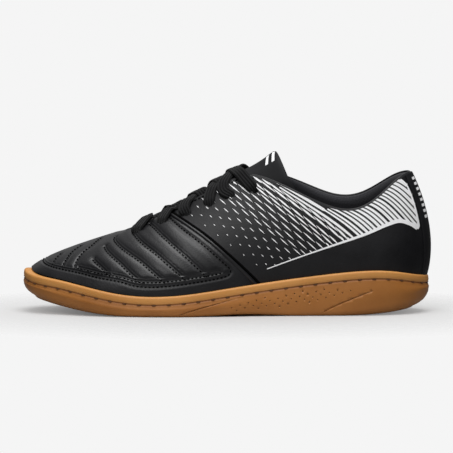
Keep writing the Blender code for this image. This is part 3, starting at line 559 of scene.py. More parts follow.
def instep(k, across, out):
    """A point over the instep at section k: across runs from -1 to 1 between the edges of the throat, and
    beyond them down the wall, one more for each TONGUE_TUCK."""
    if abs(across) > 1:
        u = k if across < 0 else ROUND - k
        share = wall_share_below_top(np.array(u), (abs(across) - 1) * TONGUE_TUCK)
        return wall(np.array(u), share, out)
    ends, slopes = [], []
    for u in (k, ROUND - k):
        ends.append(wall(np.array(u), 1.0, out))
        slopes.append((wall_point(u, 1.0) - wall_point(u, 1 - NUDGE)) / NUDGE)
    span = np.linalg.norm(ends[1] - ends[0])
    crown = 0.07 + 0.16 * smooth_step((k - 4) / 3)
    handles = [e + s / np.linalg.norm(s) * span * crown for e, s in zip(ends, slopes)]
    t = (across + 1) / 2
    a, b, c, d = ends[0], handles[0], handles[1], ends[1]
    return a * (1 - t) ** 3 + 3 * b * t * (1 - t) ** 2 + 3 * c * t * t * (1 - t) + d * t**3


def section_at(along):
    """Section number at which the top edge passes a share of the length."""
    return float(np.interp(along, [row[0] for row in TOP], range(len(TOP))))


def sole_heights(u):
    """Height of the sole's side wall, its ledge and its lower rounding, at section u all round."""
    rows = [(row[0] if side == OUTER else row[1], row[2], row[3]) for row, side in all_round(SOLE)]
    return np.moveaxis(closed_curve(rows, u), -1, 0)


def plan_outward(points):
    """Level outward direction at each point of a closed loop that starts at the toe on the outer side."""
    tangent = np.roll(points, -1, 0) - np.roll(points, 1, 0)
    outward = np.stack([tangent[:, 1], -tangent[:, 0], 0 * tangent[:, 0]], 1)
    return outward / np.linalg.norm(outward, axis=1)[:, None]


def frame_shift():
    """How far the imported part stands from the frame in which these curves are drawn."""
    low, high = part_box("upper")
    u, v = np.meshgrid(np.arange(0, ROUND, 1 / 3), np.linspace(0, 0.985, 41))
    own = wall_point(u, v).reshape(-1, 3)
    shift = (np.array(low) + np.array(high)) / 2 - (own.min(0) + own.max(0)) / 2
    shift[2] = 0
    return shift


SHIFT = frame_shift()


def smooth_line(points, count):
    """Points along a smooth curve through the given ones, evenly spread over its stretches."""
    points = np.asarray(points, float)
    padded = np.concatenate([[2 * points[0] - points[1]], points, [2 * points[-1] - points[-2]]])
    at = np.linspace(0, len(points) - 1, count)
    low = np.minimum(at.astype(int), len(points) - 2)
    t = (at - low)[:, None]
    a, b, c, d = (padded[low + n] for n in range(4))
    return 0.5 * (2 * b + (c - a) * t + (2 * a - 5 * b + 4 * c - d) * t**2 + (3 * b - a - 3 * c + d) * t**3)


def even_run(points, count):
    """The same line with its points at even distances."""
    run = np.concatenate([[0], np.cumsum(np.linalg.norm(np.diff(points, axis=0), axis=1))])
    at = np.linspace(0, run[-1], count)
    return np.stack([np.interp(at, run, points[:, n]) for n in range(points.shape[1])], 1)


# Meshes


def linked(name, data):
    """A new object in the scene."""
    made = bpy.data.objects.new(name, data)
    bpy.context.scene.collection.objects.link(made)
    return made


def add_object(name, points, faces, finishes, uv=None, smooth=40):
    """A mesh object whose points are given in the frame of the curves above."""
    mesh = bpy.data.meshes.new(name)
    mesh.from_pydata([tuple(map(float, p)) for p in np.asarray(points, float) + SHIFT], [], faces)
    if uv is not None:
        layer = mesh.uv_layers.new(name="along")
        corners = np.array([loop.vertex_index for loop in mesh.loops])
        layer.data.foreach_set("uv", np.asarray(uv, float)[corners].ravel())
    shape = bmesh.new()
    shape.from_mesh(mesh)
    bmesh.ops.remove_doubles(shape, verts=shape.verts, dist=1e-6)
    bmesh.ops.recalc_face_normals(shape, faces=shape.faces)
    if shape.calc_volume(signed=True) < 0:
        bmesh.ops.reverse_faces(shape, faces=shape.faces)
    shape.to_mesh(mesh)
    shape.free()
    mesh.shade_smooth()
    mesh.set_sharp_from_angle(angle=math.radians(smooth))
    for finish in finishes:
        mesh.materials.append(finish)
    return linked(name, mesh)


def grid_faces(rows, columns, closed_rows=False, closed_columns=False):
    """Quads of a grid whose points are stored row after row."""
    faces = []
    for i in range(rows if closed_rows else rows - 1):
        for j in range(columns if closed_columns else columns - 1):
            a, b = i * columns, (i + 1) % rows * columns
            c = (j + 1) % columns
            faces.append((a + j, a + c, b + c, b + j))
    return faces


def tube_faces(rings, sides):
    """Faces of a closed tube whose points are stored ring after ring."""
    last = sides * (rings - 1)
    ends = [tuple(range(sides - 1, -1, -1)), tuple(range(last, last + sides))]
    return grid_faces(rings, sides, closed_columns=True) + ends


def join_shapes(name, shapes, finishes=(), smooth=40):
    """One object of several shapes, each given as its points and faces."""
    points, faces = [], []
    for more, its_faces in shapes:
        faces += [tuple(n + len(points) for n in face) for face in its_faces]
        points += list(more)
    return add_object(name, points, faces, finishes, smooth=smooth)


def shell(name, outside, inside, finishes, closed_columns=False, uv=None, smooth=40, step=1):
    """A solid between two grids of points, the inner one with only every step-th row and column."""
    rows, columns = outside.shape[:2]
    start, inner = rows * columns, inside.shape[1]
    points = np.concatenate([outside.reshape(-1, 3), inside.reshape(-1, 3)])
    faces = grid_faces(rows, columns, closed_columns=closed_columns)
    for face in grid_faces(*inside.shape[:2], closed_columns=closed_columns):
        faces.append(tuple(start + n for n in face[::-1]))
    for row in (0, rows - 1):
        for j in range(0, columns if closed_columns else columns - 1, step):
            run = [(j + n) % columns for n in range(step + 1)]
            ends = [start + row // step * inner + k // step for k in (run[-1], run[0])]
            faces.append((*(row * columns + k for k in run), *ends))
    if not closed_columns:
        for column in (0, columns - 1):
            for i in range(0, rows - 1, step):
                run = range(i, i + step + 1)
                ends = [start + k // step * inner + column // step for k in (run[-1], run[0])]
                faces.append((*(k * columns + column for k in run), *ends))
    doubled = None if uv is None else np.concatenate([uv.reshape(-1, 2)] * 2)
    return add_object(name, points, faces, finishes, uv=doubled, smooth=smooth)


def laid(height, lift=0.0):
    """Moves points to a height that follows from their X, and a lift."""
    return lambda p: np.array([p[0], p[1], height(p[0]) + lift])


def floor_across(loop, lanes, height):
    """Points and faces that fill a closed loop straight across, from its outer side to its inner side."""
    count = len(loop)
    points = list(loop)
    rows = [[0] * (lanes + 1)]
    for j in range(1, count // 2):
        a, b = loop[j], loop[count - j]
        row = [j]
        for lane in range(1, lanes):
            row.append(len(points))
            points.append(height(a + (b - a) * lane / lanes))
        rows.append(row + [count - j])
    rows.append([count // 2] * (lanes + 1))
    faces = []
    for near, far in zip(rows, rows[1:]):
        for lane in range(lanes):
            face = [near[lane], near[lane + 1], far[lane + 1], far[lane]]
            face = [n for i, n in enumerate(face) if n != face[i - 1]]
            if len(face) > 2:
                faces.append(tuple(face))
    return points, faces


def fill_ends(rings, first_height, last_height, lanes):
    """Points and faces of a solid whose side is made of rings, its two end loops filled straight across."""
    count = len(rings[0])
    points = [p for one in rings for p in one]
    faces = grid_faces(len(rings), count, closed_columns=True)
    for loop, height, start in ((rings[0], first_height, 0), (rings[-1], last_height, len(points) - count)):
        more, its_faces = floor_across(loop, lanes, height)
        moved = [n + start if n < count else n - count + len(points) for n in range(len(more))]
        points += more[count:]
        faces += [tuple(moved[n] for n in face) for face in its_faces]
    return points, faces


def baked(made):
    """Replaces an object's mesh by the one that its modifiers give, and takes the modifiers off."""
    graph = bpy.context.evaluated_depsgraph_get()
    mesh = bpy.data.meshes.new_from_object(made.evaluated_get(graph), depsgraph=graph)
    made.modifiers.clear()
    made.data = mesh
    return made


def cut(target, tool):
    """Takes the tool's shape out of the target for good."""
    modifier = target.modifiers.new("cut", "BOOLEAN")
    modifier.operation = "DIFFERENCE"
    modifier.solver = "EXACT"
    modifier.object = tool
    baked(target)
    bpy.data.objects.remove(tool)


def settle(piece, node_names):
    """Hangs a piece under the root body and hides the CAD nodes that it stands for."""
    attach(piece, "root")
    if node_names:
        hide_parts(*node_names)
    return piece


# Node trees


def add_node(tree, kind, inputs=(), **settings):
    """A node with its settings, its inputs set to values or wired to other nodes' outputs."""
    made = tree.nodes.new(kind)
    for name, value in settings.items():
        setattr(made, name, value)
    wire(tree, made, dict(inputs))
    return made


def wire(tree, node, inputs):
    """Gives inputs of a node, by name or number, a value or another node's output."""
    for socket, value in inputs.items():
        if isinstance(value, bpy.types.NodeSocket):
            tree.links.new(value, node.inputs[socket])
        else:
            node.inputs[socket].default_value = value


def maths(tree, operation, *values):
    """One sum of numbers."""
    return add_node(tree, "ShaderNodeMath", enumerate(values), operation=operation).outputs["Value"]


def vectors(tree, operation, inputs):
    """One sum of vectors, with all that it gives."""
    return add_node(tree, "ShaderNodeVectorMath", inputs, operation=operation).outputs


def combined(tree, **axes):
    """A vector from its parts."""
    return add_node(tree, "ShaderNodeCombineXYZ", axes).outputs["Vector"]


def separated(tree, vector):
    """The parts of a vector."""
    return add_node(tree, "ShaderNodeSeparateXYZ", {"Vector": vector}).outputs


# Trees that place what repeats


def new_tree(name, sizes):
    """A tree with a mesh in, a mesh out and a named number for each size, and what its inputs give."""
    tree = bpy.data.node_groups.new(name, "GeometryNodeTree")
    tree.interface.new_socket("Mesh", in_out="INPUT", socket_type="NodeSocketGeometry")
    for label, value in sizes.items():
        tree.interface.new_socket(label, in_out="INPUT", socket_type="NodeSocketFloat").default_value = value
    tree.interface.new_socket("Mesh", in_out="OUTPUT", socket_type="NodeSocketGeometry")
    return tree, tree.nodes.new("NodeGroupInput").outputs


def end_tree(tree, mesh, finish=None):
    """Gives the mesh its finish, where one is named, and hands it out."""
    if finish:
        paint = add_node(tree, "GeometryNodeSetMaterial", {"Geometry": mesh, "Material": finish})
        mesh = paint.outputs["Geometry"]
    add_node(tree, "NodeGroupOutput", {"Mesh": mesh})


def grow(name, base, tree, sizes):
    """The mesh that a tree makes from a base, which it uses up."""
    modifier = base.modifiers.new(name, "NODES")
    modifier.node_group = tree
    for item in tree.interface.items_tree:
        if item.in_out == "INPUT" and item.name in sizes:
            modifier[item.identifier] = float(sizes[item.name])
    baked(base)
    base.name = name
    base.data.name = name
    return base


def carrier(name, lines, outs):
    """Loose lines of points on the shoe, each point with the direction away from the surface."""
    points, edges, away = [], [], []
    for line, out in zip(lines, outs):
        start = len(points)
        points += [tuple(map(float, p + SHIFT)) for p in line]
        away += [tuple(map(float, d)) for d in out]
        edges += [(start + n, start + n + 1) for n in range(len(line) - 1)]
    mesh = bpy.data.meshes.new(name)
    mesh.from_pydata(points, edges, [])
    attribute = mesh.attributes.new("away", "FLOAT_VECTOR", "POINT")
    attribute.data.foreach_set("vector", np.array(away, float).ravel())
    return linked(name, mesh)


def carried(tree, label, data_type="FLOAT"):
    """A number or a direction that each point carries."""
    made = add_node(tree, "GeometryNodeInputNamedAttribute", {"Name": label}, data_type=data_type)
    return made.outputs["Attribute"]


def shape_of(tree, thing):
    """The mesh of another object."""
    return add_node(tree, "GeometryNodeObjectInfo", {"Object": thing}).outputs["Geometry"]


def aligned(tree, axis, inputs, **settings):
    """A rotation that turns an axis of a shape to a direction."""
    made = add_node(tree, "FunctionNodeAlignRotationToVector", inputs, axis=axis, **settings)
    return made.outputs["Rotation"]


def repeated(tree, unit, inputs):
    """The unit shape at every point, turned and sized, as one plain mesh."""
    many = add_node(tree, "GeometryNodeInstanceOnPoints", {"Instance": shape_of(tree, unit), **inputs})
    real = add_node(tree, "GeometryNodeRealizeInstances", {"Geometry": many.outputs["Instances"]})
    return real.outputs["Geometry"]


def unit_stitch():
    """One stitch, one long and one wide: a plump thread whose ends dive into the leather."""
    turn = 2 * math.pi * np.arange(STITCH_SIDES) / STITCH_SIDES
    points = []
    for x, radius, sink in STITCH_SHAPE:
        points += [(x, radius * math.cos(a), sink + radius * math.sin(a)) for a in turn]
    faces = tube_faces(len(STITCH_SHAPE), STITCH_SIDES)
    return add_object("unit_stitch", np.array(points) - SHIFT, faces, [], smooth=80)


def stitch_tree(unit, finish):
    """Lays a stitch at every pitch along lines, its back along their out direction."""
    sizes = {"Pitch": STITCH_PITCH, "Length": STITCH_LENGTH, "Width": STITCH_WIDTH}
    tree, given = new_tree("stitch_rows", sizes)
    curve = add_node(tree, "GeometryNodeMeshToCurve", {"Mesh": given["Mesh"]}).outputs["Curve"]
    even = {"Curve": curve, "Length": given["Pitch"]}
    spread = add_node(tree, "GeometryNodeResampleCurve", even, mode="LENGTH")
    tangent = add_node(tree, "GeometryNodeInputTangent").outputs["Tangent"]
    along = aligned(tree, "X", {"Vector": tangent})
    away = carried(tree, "away", "FLOAT_VECTOR")
    stitches = repeated(tree, unit, {
        "Points": spread.outputs["Curve"],
        "Rotation": aligned(tree, "Z", {"Rotation": along, "Vector": away}, pivot_axis="X"),
        "Scale": combined(tree, X=given["Length"], Y=given["Width"], Z=given["Width"]),
    })
    end_tree(tree, stitches, finish)
    return tree


def unit_dash():
    """One dash of the print, one long and one wide, pointed at both ends. Y is 1 on top and 0 underneath."""
    x = np.linspace(-0.5, 0.5, 9)
    half = 0.5 * (1 - np.abs(2 * x) ** 1.5) + 0.03
    points = []
    for a, w in zip(x, half):
        points += [(a, 1, w), (a, 1, -w), (a, 0, -w), (a, 0, w)]
    return add_object("unit_dash", np.array(points, float) - SHIFT, tube_faces(len(x), 4), [], smooth=30)


def laid_on_wall(tree, mesh, target, side):
    """Moves points of the side view onto the wall: Y of a point is its height off the surface."""
    spot = separated(tree, add_node(tree, "GeometryNodeInputPosition").outputs["Position"])
    ray = add_node(tree, "GeometryNodeRaycast", {
        "Target Geometry": shape_of(tree, target),
        "Source Position": combined(tree, X=spot["X"], Y=maths(tree, "MULTIPLY", side, LENGTH), Z=spot["Z"]),
        "Ray Direction": combined(tree, Y=maths(tree, "MULTIPLY", side, -1.0)),
    }).outputs
    lift = vectors(tree, "SCALE", {0: ray["Hit Normal"], "Scale": spot["Y"]})["Vector"]
    landed = vectors(tree, "ADD", {0: ray["Hit Position"], 1: lift})["Vector"]
    moves = {"Geometry": mesh, "Selection": ray["Is Hit"], "Position": landed}
    return add_node(tree, "GeometryNodeSetPosition", moves).outputs["Geometry"]


def dash_tree(unit, target, finish):
    """Prints a dash at every point, turned and sized by the point's own numbers."""
    tree, given = new_tree("print_dashes", {"Side": OUTER, "Film": PRINT_FILM})
    dashes = repeated(tree, unit, {
        "Points": given["Mesh"],
        "Rotation": combined(tree, Y=carried(tree, "turn")),
        "Scale": combined(tree, X=carried(tree, "long"), Y=given["Film"], Z=carried(tree, "wide")),
    })
    end_tree(tree, laid_on_wall(tree, dashes, target, given["Side"]), finish)
    return tree


def film_tree(target, finish):
    """Lays a flat shape of the side view onto the wall."""
    tree, given = new_tree("print_film", {"Side": OUTER})
    end_tree(tree, laid_on_wall(tree, given["Mesh"], target, given["Side"]), finish)
    return tree


# Finishes


def new_finish(name, colour, roughness):
    """A material with its tree and its shader."""
    made = bpy.data.materials.new(name)
    made.use_nodes = True
    shader = made.node_tree.nodes["Principled BSDF"]
    wire(made.node_tree, shader, {"Base Color": (*colour, 1), "Roughness": roughness})
    return made, made.node_tree, shader


def coordinates(tree, kind="Object"):
    """Where a point is, on the object or on its own UV map."""
    return add_node(tree, "ShaderNodeTexCoord").outputs[kind]


def noise(tree, scale, detail):
    """Soft clouds over the object."""
    inputs = {"Scale": scale, "Detail": detail, "Roughness": NOISE_ROUGHNESS, "Vector": coordinates(tree)}
    return add_node(tree, "ShaderNodeTexNoise", inputs).outputs["Fac"]


def ranged(tree, value, low, high, start=0.3, end=0.7):
    """A value that runs from low to high while the given one runs from start to end."""
    inputs = {"From Min": start, "From Max": end, "To Min": low, "To Max": high, "Value": value}
    return add_node(tree, "ShaderNodeMapRange", inputs).outputs["Result"]


def mixed(tree, share, *colours):
    """Two colours mixed by a share, each given as three numbers or as a node's output."""
    first, second = (c if isinstance(c, bpy.types.NodeSocket) else (*c, 1) for c in colours)
    inputs = {"Factor": share, "A": first, "B": second}
    return add_node(tree, "ShaderNodeMix", inputs, data_type="RGBA").outputs["Result"]


def bumped(tree, shader, layers):
    """Stacks bumps, each a height with its distance in metres and its strength."""
    below = {}
    for height, distance, strength in layers:
        inputs = {"Distance": distance, "Strength": strength, "Height": height, **below}
        bump = add_node(tree, "ShaderNodeBump", inputs)
        below = {"Normal": bump.outputs["Normal"]}
    wire(tree, shader, below)


def pebbles(tree, scale):
    """Grain of leather: small closed cells with soft edges."""
    inputs = {"Scale": scale, "Smoothness": 0.5, "Vector": coordinates(tree)}
    return add_node(tree, "ShaderNodeTexVoronoi", inputs, feature="SMOOTH_F1").outputs["Distance"]


def leather(name, colour, roughness, gloss, grain, relief=0.00012):
    """Coated leather: grain, a faint sheen and slightly uneven gloss."""
    made, tree, shader = new_finish(name, colour, roughness)
    cloud = noise(tree, 60, 3)
    lighter = tuple(c * LEATHER_LIGHTER for c in colour)
    wire(tree, shader, {
        "Roughness": ranged(tree, cloud, roughness - 0.05, roughness + 0.06),
        "Base Color": mixed(tree, ranged(tree, cloud, 0, 1), colour, lighter),
        "Specular IOR Level": gloss,
    })
    bumped(tree, shader, [(pebbles(tree, grain), relief, 0.5), (noise(tree, 900, 4), relief, 0.25)])
    return made


def gum_rubber(name, first, second):
    """Gum rubber: warm brown, faintly cloudy, with a satin skin."""
    made, tree, shader = new_finish(name, first, 0.5)
    wire(tree, shader, {
        "Base Color": mixed(tree, ranged(tree, noise(tree, 35, 4), 0, 1), first, second),
        "Roughness": ranged(tree, noise(tree, 120, 3), 0.42, 0.56),
        "Specular IOR Level": 0.3,
        "Subsurface Weight": 0.06,
        "Subsurface Scale": 0.003,
        "Subsurface Radius": (1.0, 0.45, 0.2),
    })
    bumped(tree, shader, [(noise(tree, 1500, 3), 0.00012, 0.35)])
    return made


def knit(name, colour, lighter, count):
    """Knitted lining: columns of small loops along the piece's own UV, so many to the metre."""
    made, tree, shader = new_finish(name, colour, 0.9)
    scaled = {"Scale": (count, count, count), "Vector": coordinates(tree, "UV")}
    spot = add_node(tree, "ShaderNodeMapping", scaled).outputs["Vector"]
    inputs = {"Scale": 1.0, "Randomness": 0.25, "Vector": spot}
    loops = add_node(tree, "ShaderNodeTexVoronoi", inputs).outputs["Distance"]
    wire(tree, shader, {
        "Base Color": mixed(tree, ranged(tree, loops, 0, 1, 0.2, 0.6), lighter, colour),
        "Sheen Weight": 0.25,
        "Sheen Roughness": 0.5,
        "Specular IOR Level": 0.25,
    })
    bumped(tree, shader, [(loops, 0.0006, -0.7)])
    return made


def lace_braid():
    """Flat braid: ridges along the lace, each of slanted yarns, drawn on the lace's own UV in metres."""
    made, tree, shader = new_finish("lace_weave", LACE_MEAN, 0.9)
    spot = separated(tree, coordinates(tree, "UV"))
    fold = maths(tree, "PINGPONG", spot["Y"], LACE_RIDGE / 2)
    wave = maths(tree, "PINGPONG", maths(tree, "ADD", spot["X"], fold), LACE_YARN)
    yarn = ranged(tree, wave, 0, 1, 0, LACE_YARN)
    ridge = ranged(tree, fold, 0, 1, 0, LACE_RIDGE / 2)
    wire(tree, shader, {
        "Base Color": mixed(tree, ridge, LACE_BLACK, LACE_GREY),
        "Sheen Weight": 0.05,
        "Sheen Roughness": 0.4,
        "Specular IOR Level": 0.2,
    })
    bumped(tree, shader, [(ridge, 0.0008, 0.9), (yarn, 0.0003, 0.6)])
    return made


def plain_film(name, colour, roughness, gloss=0.5):
    """A thin even coat, a little worn in places."""
    made, tree, shader = new_finish(name, colour, roughness)
    worn = tuple(c * FILM_WORN for c in colour)
    cloud = ranged(tree, noise(tree, 200, 3), 0, 1)
    wire(tree, shader, {"Base Color": mixed(tree, cloud, colour, worn), "Specular IOR Level": gloss})
    bumped(tree, shader, [(noise(tree, 1200, 3), 0.0001, 0.3)])
    return made


# The view


def add_camera():
    """The camera stands level with the side of the shoe, a little above it."""
    elevation = math.radians(CAMERA_ELEVATION)
    back, up = CAMERA_DISTANCE * math.cos(elevation), CAMERA_DISTANCE * math.sin(elevation)
    data = bpy.data.cameras.new("camera")
    data.lens = CAMERA_LENS
    data.sensor_width = 36
    data.clip_start = 0.05
    made = linked("camera", data)
    made.location = (CAMERA_AIM[0], -back, up)
    point_at(made, CAMERA_AIM)
    bpy.context.scene.camera = made


def point_at(thing, aim):
    """Turns a camera or a light towards a point."""
    thing.rotation_euler = (Vector(aim) - thing.location).to_track_quat("-Z", "Y").to_euler()


def add_light(name, place_at, aim, size, power):
    """A soft box of light."""
    data = bpy.data.lights.new(name, "AREA")
    data.shape = "RECTANGLE"
    data.size, data.size_y = size
    data.energy = power
    made = linked(name, data)
    made.location = place_at
    point_at(made, aim)


def studio_world():
    """Even paper white behind the shoe, while the light that falls on it comes mostly from above."""
    world = bpy.data.worlds.new("studio")
    world.use_nodes = True
    tree = world.node_tree
    spot = separated(tree, coordinates(tree, "Generated"))
    room = mixed(tree, ranged(tree, spot["Z"], 0, 1, *ROOM_CLIMB), [ROOM_LOW] * 3, [ROOM_HIGH] * 3)
    ends = ranged(tree, maths(tree, "ABSOLUTE", spot["X"]), 1, ROOM_ENDS, *ROOM_TURN)
    dim = vectors(tree, "SCALE", {0: room, "Scale": ends})["Vector"]
    seen = add_node(tree, "ShaderNodeLightPath").outputs["Is Camera Ray"]
    wire(tree, tree.nodes["Background"], {"Color": mixed(tree, seen, dim, [PAPER] * 3)})
    bpy.context.scene.world = world


def floor_paper():
    """Pale paper under the shoe that turns clear further out, so that it melts into the background."""
    made, tree, shader = new_finish("floor_paper", (FLOOR, FLOOR, FLOOR), 0.9)
    wire(tree, shader, {"Specular IOR Level": 0.1})
    oval = vectors(tree, "MULTIPLY", {0: coordinates(tree), 1: FLOOR_OVAL})["Vector"]
    reach = vectors(tree, "LENGTH", {0: oval})["Value"]
    clear = add_node(tree, "ShaderNodeBsdfTransparent").outputs["BSDF"]
    share = ranged(tree, reach, 0, 1, *FLOOR_FADE)
    blend = add_node(tree, "ShaderNodeMixShader", {"Fac": share, 1: shader.outputs["BSDF"], 2: clear})
    wire(tree, tree.nodes["Material Output"], {"Surface": blend.outputs["Shader"]})
    return made


def add_studio():
    """A pale floor, a large soft box overhead and a weaker one at the front."""
    studio_world()
    bpy.context.scene.view_settings.view_transform = "Standard"
    add_light("overhead", (0.05, -0.35, 1.5), aim=(0, 0, 0), size=(0.9, 1.4), power=22)
    add_light("front", (-0.5, -1.4, 1.0), aim=(0, 0, 0.05), size=(0.5, 0.5), power=5)
    mesh = bpy.data.meshes.new("floor")
    corners = [(-FLOOR_SIZE, -FLOOR_SIZE, 0), (FLOOR_SIZE, -FLOOR_SIZE, 0),
               (FLOOR_SIZE, FLOOR_SIZE, 0), (-FLOOR_SIZE, FLOOR_SIZE, 0)]
    mesh.from_pydata(corners, [], [(0, 1, 2, 3)])
    floor = linked("floor", mesh)
    mesh.materials.append(floor_paper())


# The sole


def sole_ring(u):
    """The sole's outer loop at sections u, with its outward direction, its under height and groove height."""
    wall_height, ledge, lower_round = sole_heights(u)
    share = wall_share_at(u, wall_height)
    edge = wall(u, share, FIT_GAP)
    outward = plan_outward(edge)
    outer = edge + outward * (ledge[:, None] - FIT_GAP)
    return wall_height, lower_round, share, edge, outward, outer, underside(outer[:, 0]), wall_height - BAND


def sole_rings(u):
    """Loops of the sole from the edge of its floor over band and groove to the underside.

    With them come the numbers of the first loops of band and groove, and the outer loop with its directions.
    """
    wall_height, lower_round, share, edge, outward, outer, under, groove = sole_ring(u)

    def ring(inset, height):
        points = outer - outward * np.broadcast_to(inset, under.shape)[:, None]
        points[:, 2] = height
        return points

    rings = [wall(u, 0.0, FIT_GAP) - [0, 0, FIT_GAP]]
    rings += [wall(u, share * part, FIT_GAP) for part in (0.25, 0.5, 0.75)]
    ledge_width = np.linalg.norm((outer - edge)[:, :2], axis=1)
    rings.append(edge * [1, 1, 0] + np.stack([0 * u, 0 * u, wall_height], 1))
    first_band = len(rings) - 1
    rings.append(ring(BAND_STEP + (BAND_ROUND + ledge_width) / 2, wall_height))
    for angle in np.radians(BAND_TURN):
        inset = BAND_STEP + BAND_ROUND * (1 - math.cos(angle))
        rings.append(ring(inset, wall_height - BAND_ROUND * (1 - math.sin(angle))))
    rings.append(ring(BAND_STEP / 2, (wall_height - BAND_ROUND + groove + GROOVE_HALF_WIDTH) / 2))
    first_groove = len(rings) + 1
    for up, depth in GROOVE_SHAPE:
        top = groove + GROOVE_HALF_WIDTH * up
        rings.append(ring(GROOVE_DEPTH * depth, top))
    lower_round = np.minimum(lower_round, top - under - LOWER_WALL)
    low = under + lower_round
    bulge = SOLE_BULGE * np.clip((top - low) / BULGE_HEIGHT, 0, 1)
    for part in np.linspace(0, 1, 9)[1:]:
        lip = GROOVE_DEPTH * depth * (1 - part) ** 3
        rings.append(ring(lip - bulge * math.sin(math.pi * part), top + (low - top) * part))
    for angle in np.radians(FOOT_TURN):
        rings.append(ring(lower_round * (1 - math.cos(angle)), low - lower_round * math.sin(angle)))
    rings[-1][:, 2] = underside(rings[-1][:, 0])
    return rings, first_band, first_groove, outer, outward


def outsole(finish, groove_dark, pit_shade, light):
    """The cup sole, its groove in a gum of its own, its band in a lighter gum as painted light, with the cuts
    of tread, arcs and pits.
    """
    u = np.arange(0, ROUND, SOLE_STEP)
    rings, first_band, first_groove, outer, outward = sole_rings(u)
    points, faces = fill_ends(rings, laid(footbed, -FIT_GAP), laid(underside), 8)
    made = add_object("outsole_gum", points, faces, [finish, groove_dark, light], smooth=35)
    for face in made.data.polygons:
        row = face.index // len(u)
        if first_band <= row < first_groove:
            # the band rows get the lighter gum, painted light
            face.material_index = 2
        elif first_groove <= row < first_groove + 4:
            face.material_index = 1
    cut(made, tread(rings[-1]))
    cut(made, side_arcs(outer, outward))
    pits(made, pit_shade)
    return made


def strip_prism(path, half_width):
    """Points and faces of a flat-sided strip along a path in plan, from below the sole up to its depth."""
    path = np.asarray(path, float)
    tangent = np.gradient(path, axis=0)
    side = np.stack([-tangent[:, 1], tangent[:, 0]], 1)
    side /= np.linalg.norm(side, axis=1)[:, None]
    points = []
    for a, b, p in zip(path + side * half_width, path - side * half_width, path):
        high, low = underside(p[0]) + TREAD_DEPTH, -2 * TREAD_DEPTH
        points += [(*a, high), (*b, high), (*b, low), (*a, low)]
    return points, tube_faces(len(path), 4)


def tread(outline):
    """Cutter for the main tread: zigzag grooves across ball and heel, and a turning ring under the ball."""
    centre = np.array([place(PIVOT_ALONG), 0.0])
    half = len(outline) // 2
    outer, inner = outline[:half], outline[half:][::-1]
    shapes = []
    for start, end in TREAD_ZONES:
        x = place(start)
        while x < place(end):
            low = np.interp(x, outer[:, 0], outer[:, 1]) + TREAD_BORDER
            high = np.interp(x, inner[:, 0], inner[:, 1]) - TREAD_BORDER
            count = max(3, int(round((high - low) / TREAD_ZIGZAG_RUN)))
            zigzag = x + TREAD_ZIGZAG * (np.arange(count) % 2 - 0.5)
            path = np.stack([zigzag, np.linspace(low, high, count)], 1)
            clear = np.linalg.norm(path - centre, axis=1) > PIVOT_RADIUS + 2 * TREAD_WIDTH
            for run in np.split(np.arange(count), np.where(np.diff(clear))[0] + 1):
                if clear[run[0]] and len(run) > 2:
                    shapes.append(strip_prism(path[run], TREAD_WIDTH / 2))
            x += TREAD_PITCH
    turn = 2 * math.pi * (np.arange(48) + 0.5) / 48
    rings = []
    for radius in (PIVOT_RADIUS - TREAD_WIDTH / 2, PIVOT_RADIUS + TREAD_WIDTH / 2):
        circle = centre + radius * np.stack([np.cos(turn), np.sin(turn)], 1)
        for height in (-2 * TREAD_DEPTH, TREAD_DEPTH):
            rings.append([(x, y, height) for x, y in circle])
    rings = [rings[0], rings[1], rings[3], rings[2]]
    faces = grid_faces(4, len(turn), closed_rows=True, closed_columns=True)
    shapes.append(([p for one in rings for p in one], faces))
    return join_shapes("tread_cutter", shapes)


def side_arcs(outer, outward):
    """Cutter for the two moulded arcs on the outer side of the sole."""
    half = len(outer) // 2
    shapes = []
    for start, end, low, high in SIDE_ARCS:
        points = []
        for t in np.linspace(0, 1, 25):
            x = place(start + (end - start) * t)
            point, away = (np.array([np.interp(x, outer[:half, 0], line[:half, n]) for n in (0, 1)])
                           for line in (outer, outward))
            height = SOLE[5][0] * (low + (high - low) * t**0.85)
            spread = 4 * ARC_WIDTH * (1.15 - t)
            deep = point - away * ARC_DEPTH * (1.1 - 0.8 * t)
            clear = point + away * (ARC_REACH + SOLE_BULGE)
            points += [(*deep, height), (*clear, height + spread), (*clear, height - spread)]
        shapes.append((points, tube_faces(len(points) // 3, 3)))
    return join_shapes("arc_cutter", shapes)


def pit_spots(sole):
    """Places of the pits on the outer side of the sole, in slanted rows inside a slim lens."""
    first, steps = np.array(PIT_FIRST), np.array(PIT_STEPS)
    a, b = np.array(PIT_FIELD)
    run = b - a
    normal = np.array([-run[1], run[0]]) / np.linalg.norm(run)
    spots, aways = [], []
    for i in PIT_ROWS:
        for j in PIT_ROWS:
            spot = first + i * steps[0] + j * steps[1]
            t = (spot - a) @ run / (run @ run)
            if not 0 < t < 1:
                continue
            if abs((spot - a) @ normal) > PIT_FIELD_HALF_WIDTH * math.sin(math.pi * t) ** 0.8:
                continue
            start = Vector((spot[0] + SHIFT[0], -LENGTH, spot[1]))
            hit, point, away, _ = sole.ray_cast(start, Vector((0, 1, 0)))
            if hit:
                spots.append(np.array(point) - SHIFT)
                aways.append(np.array(away))
    return spots, aways


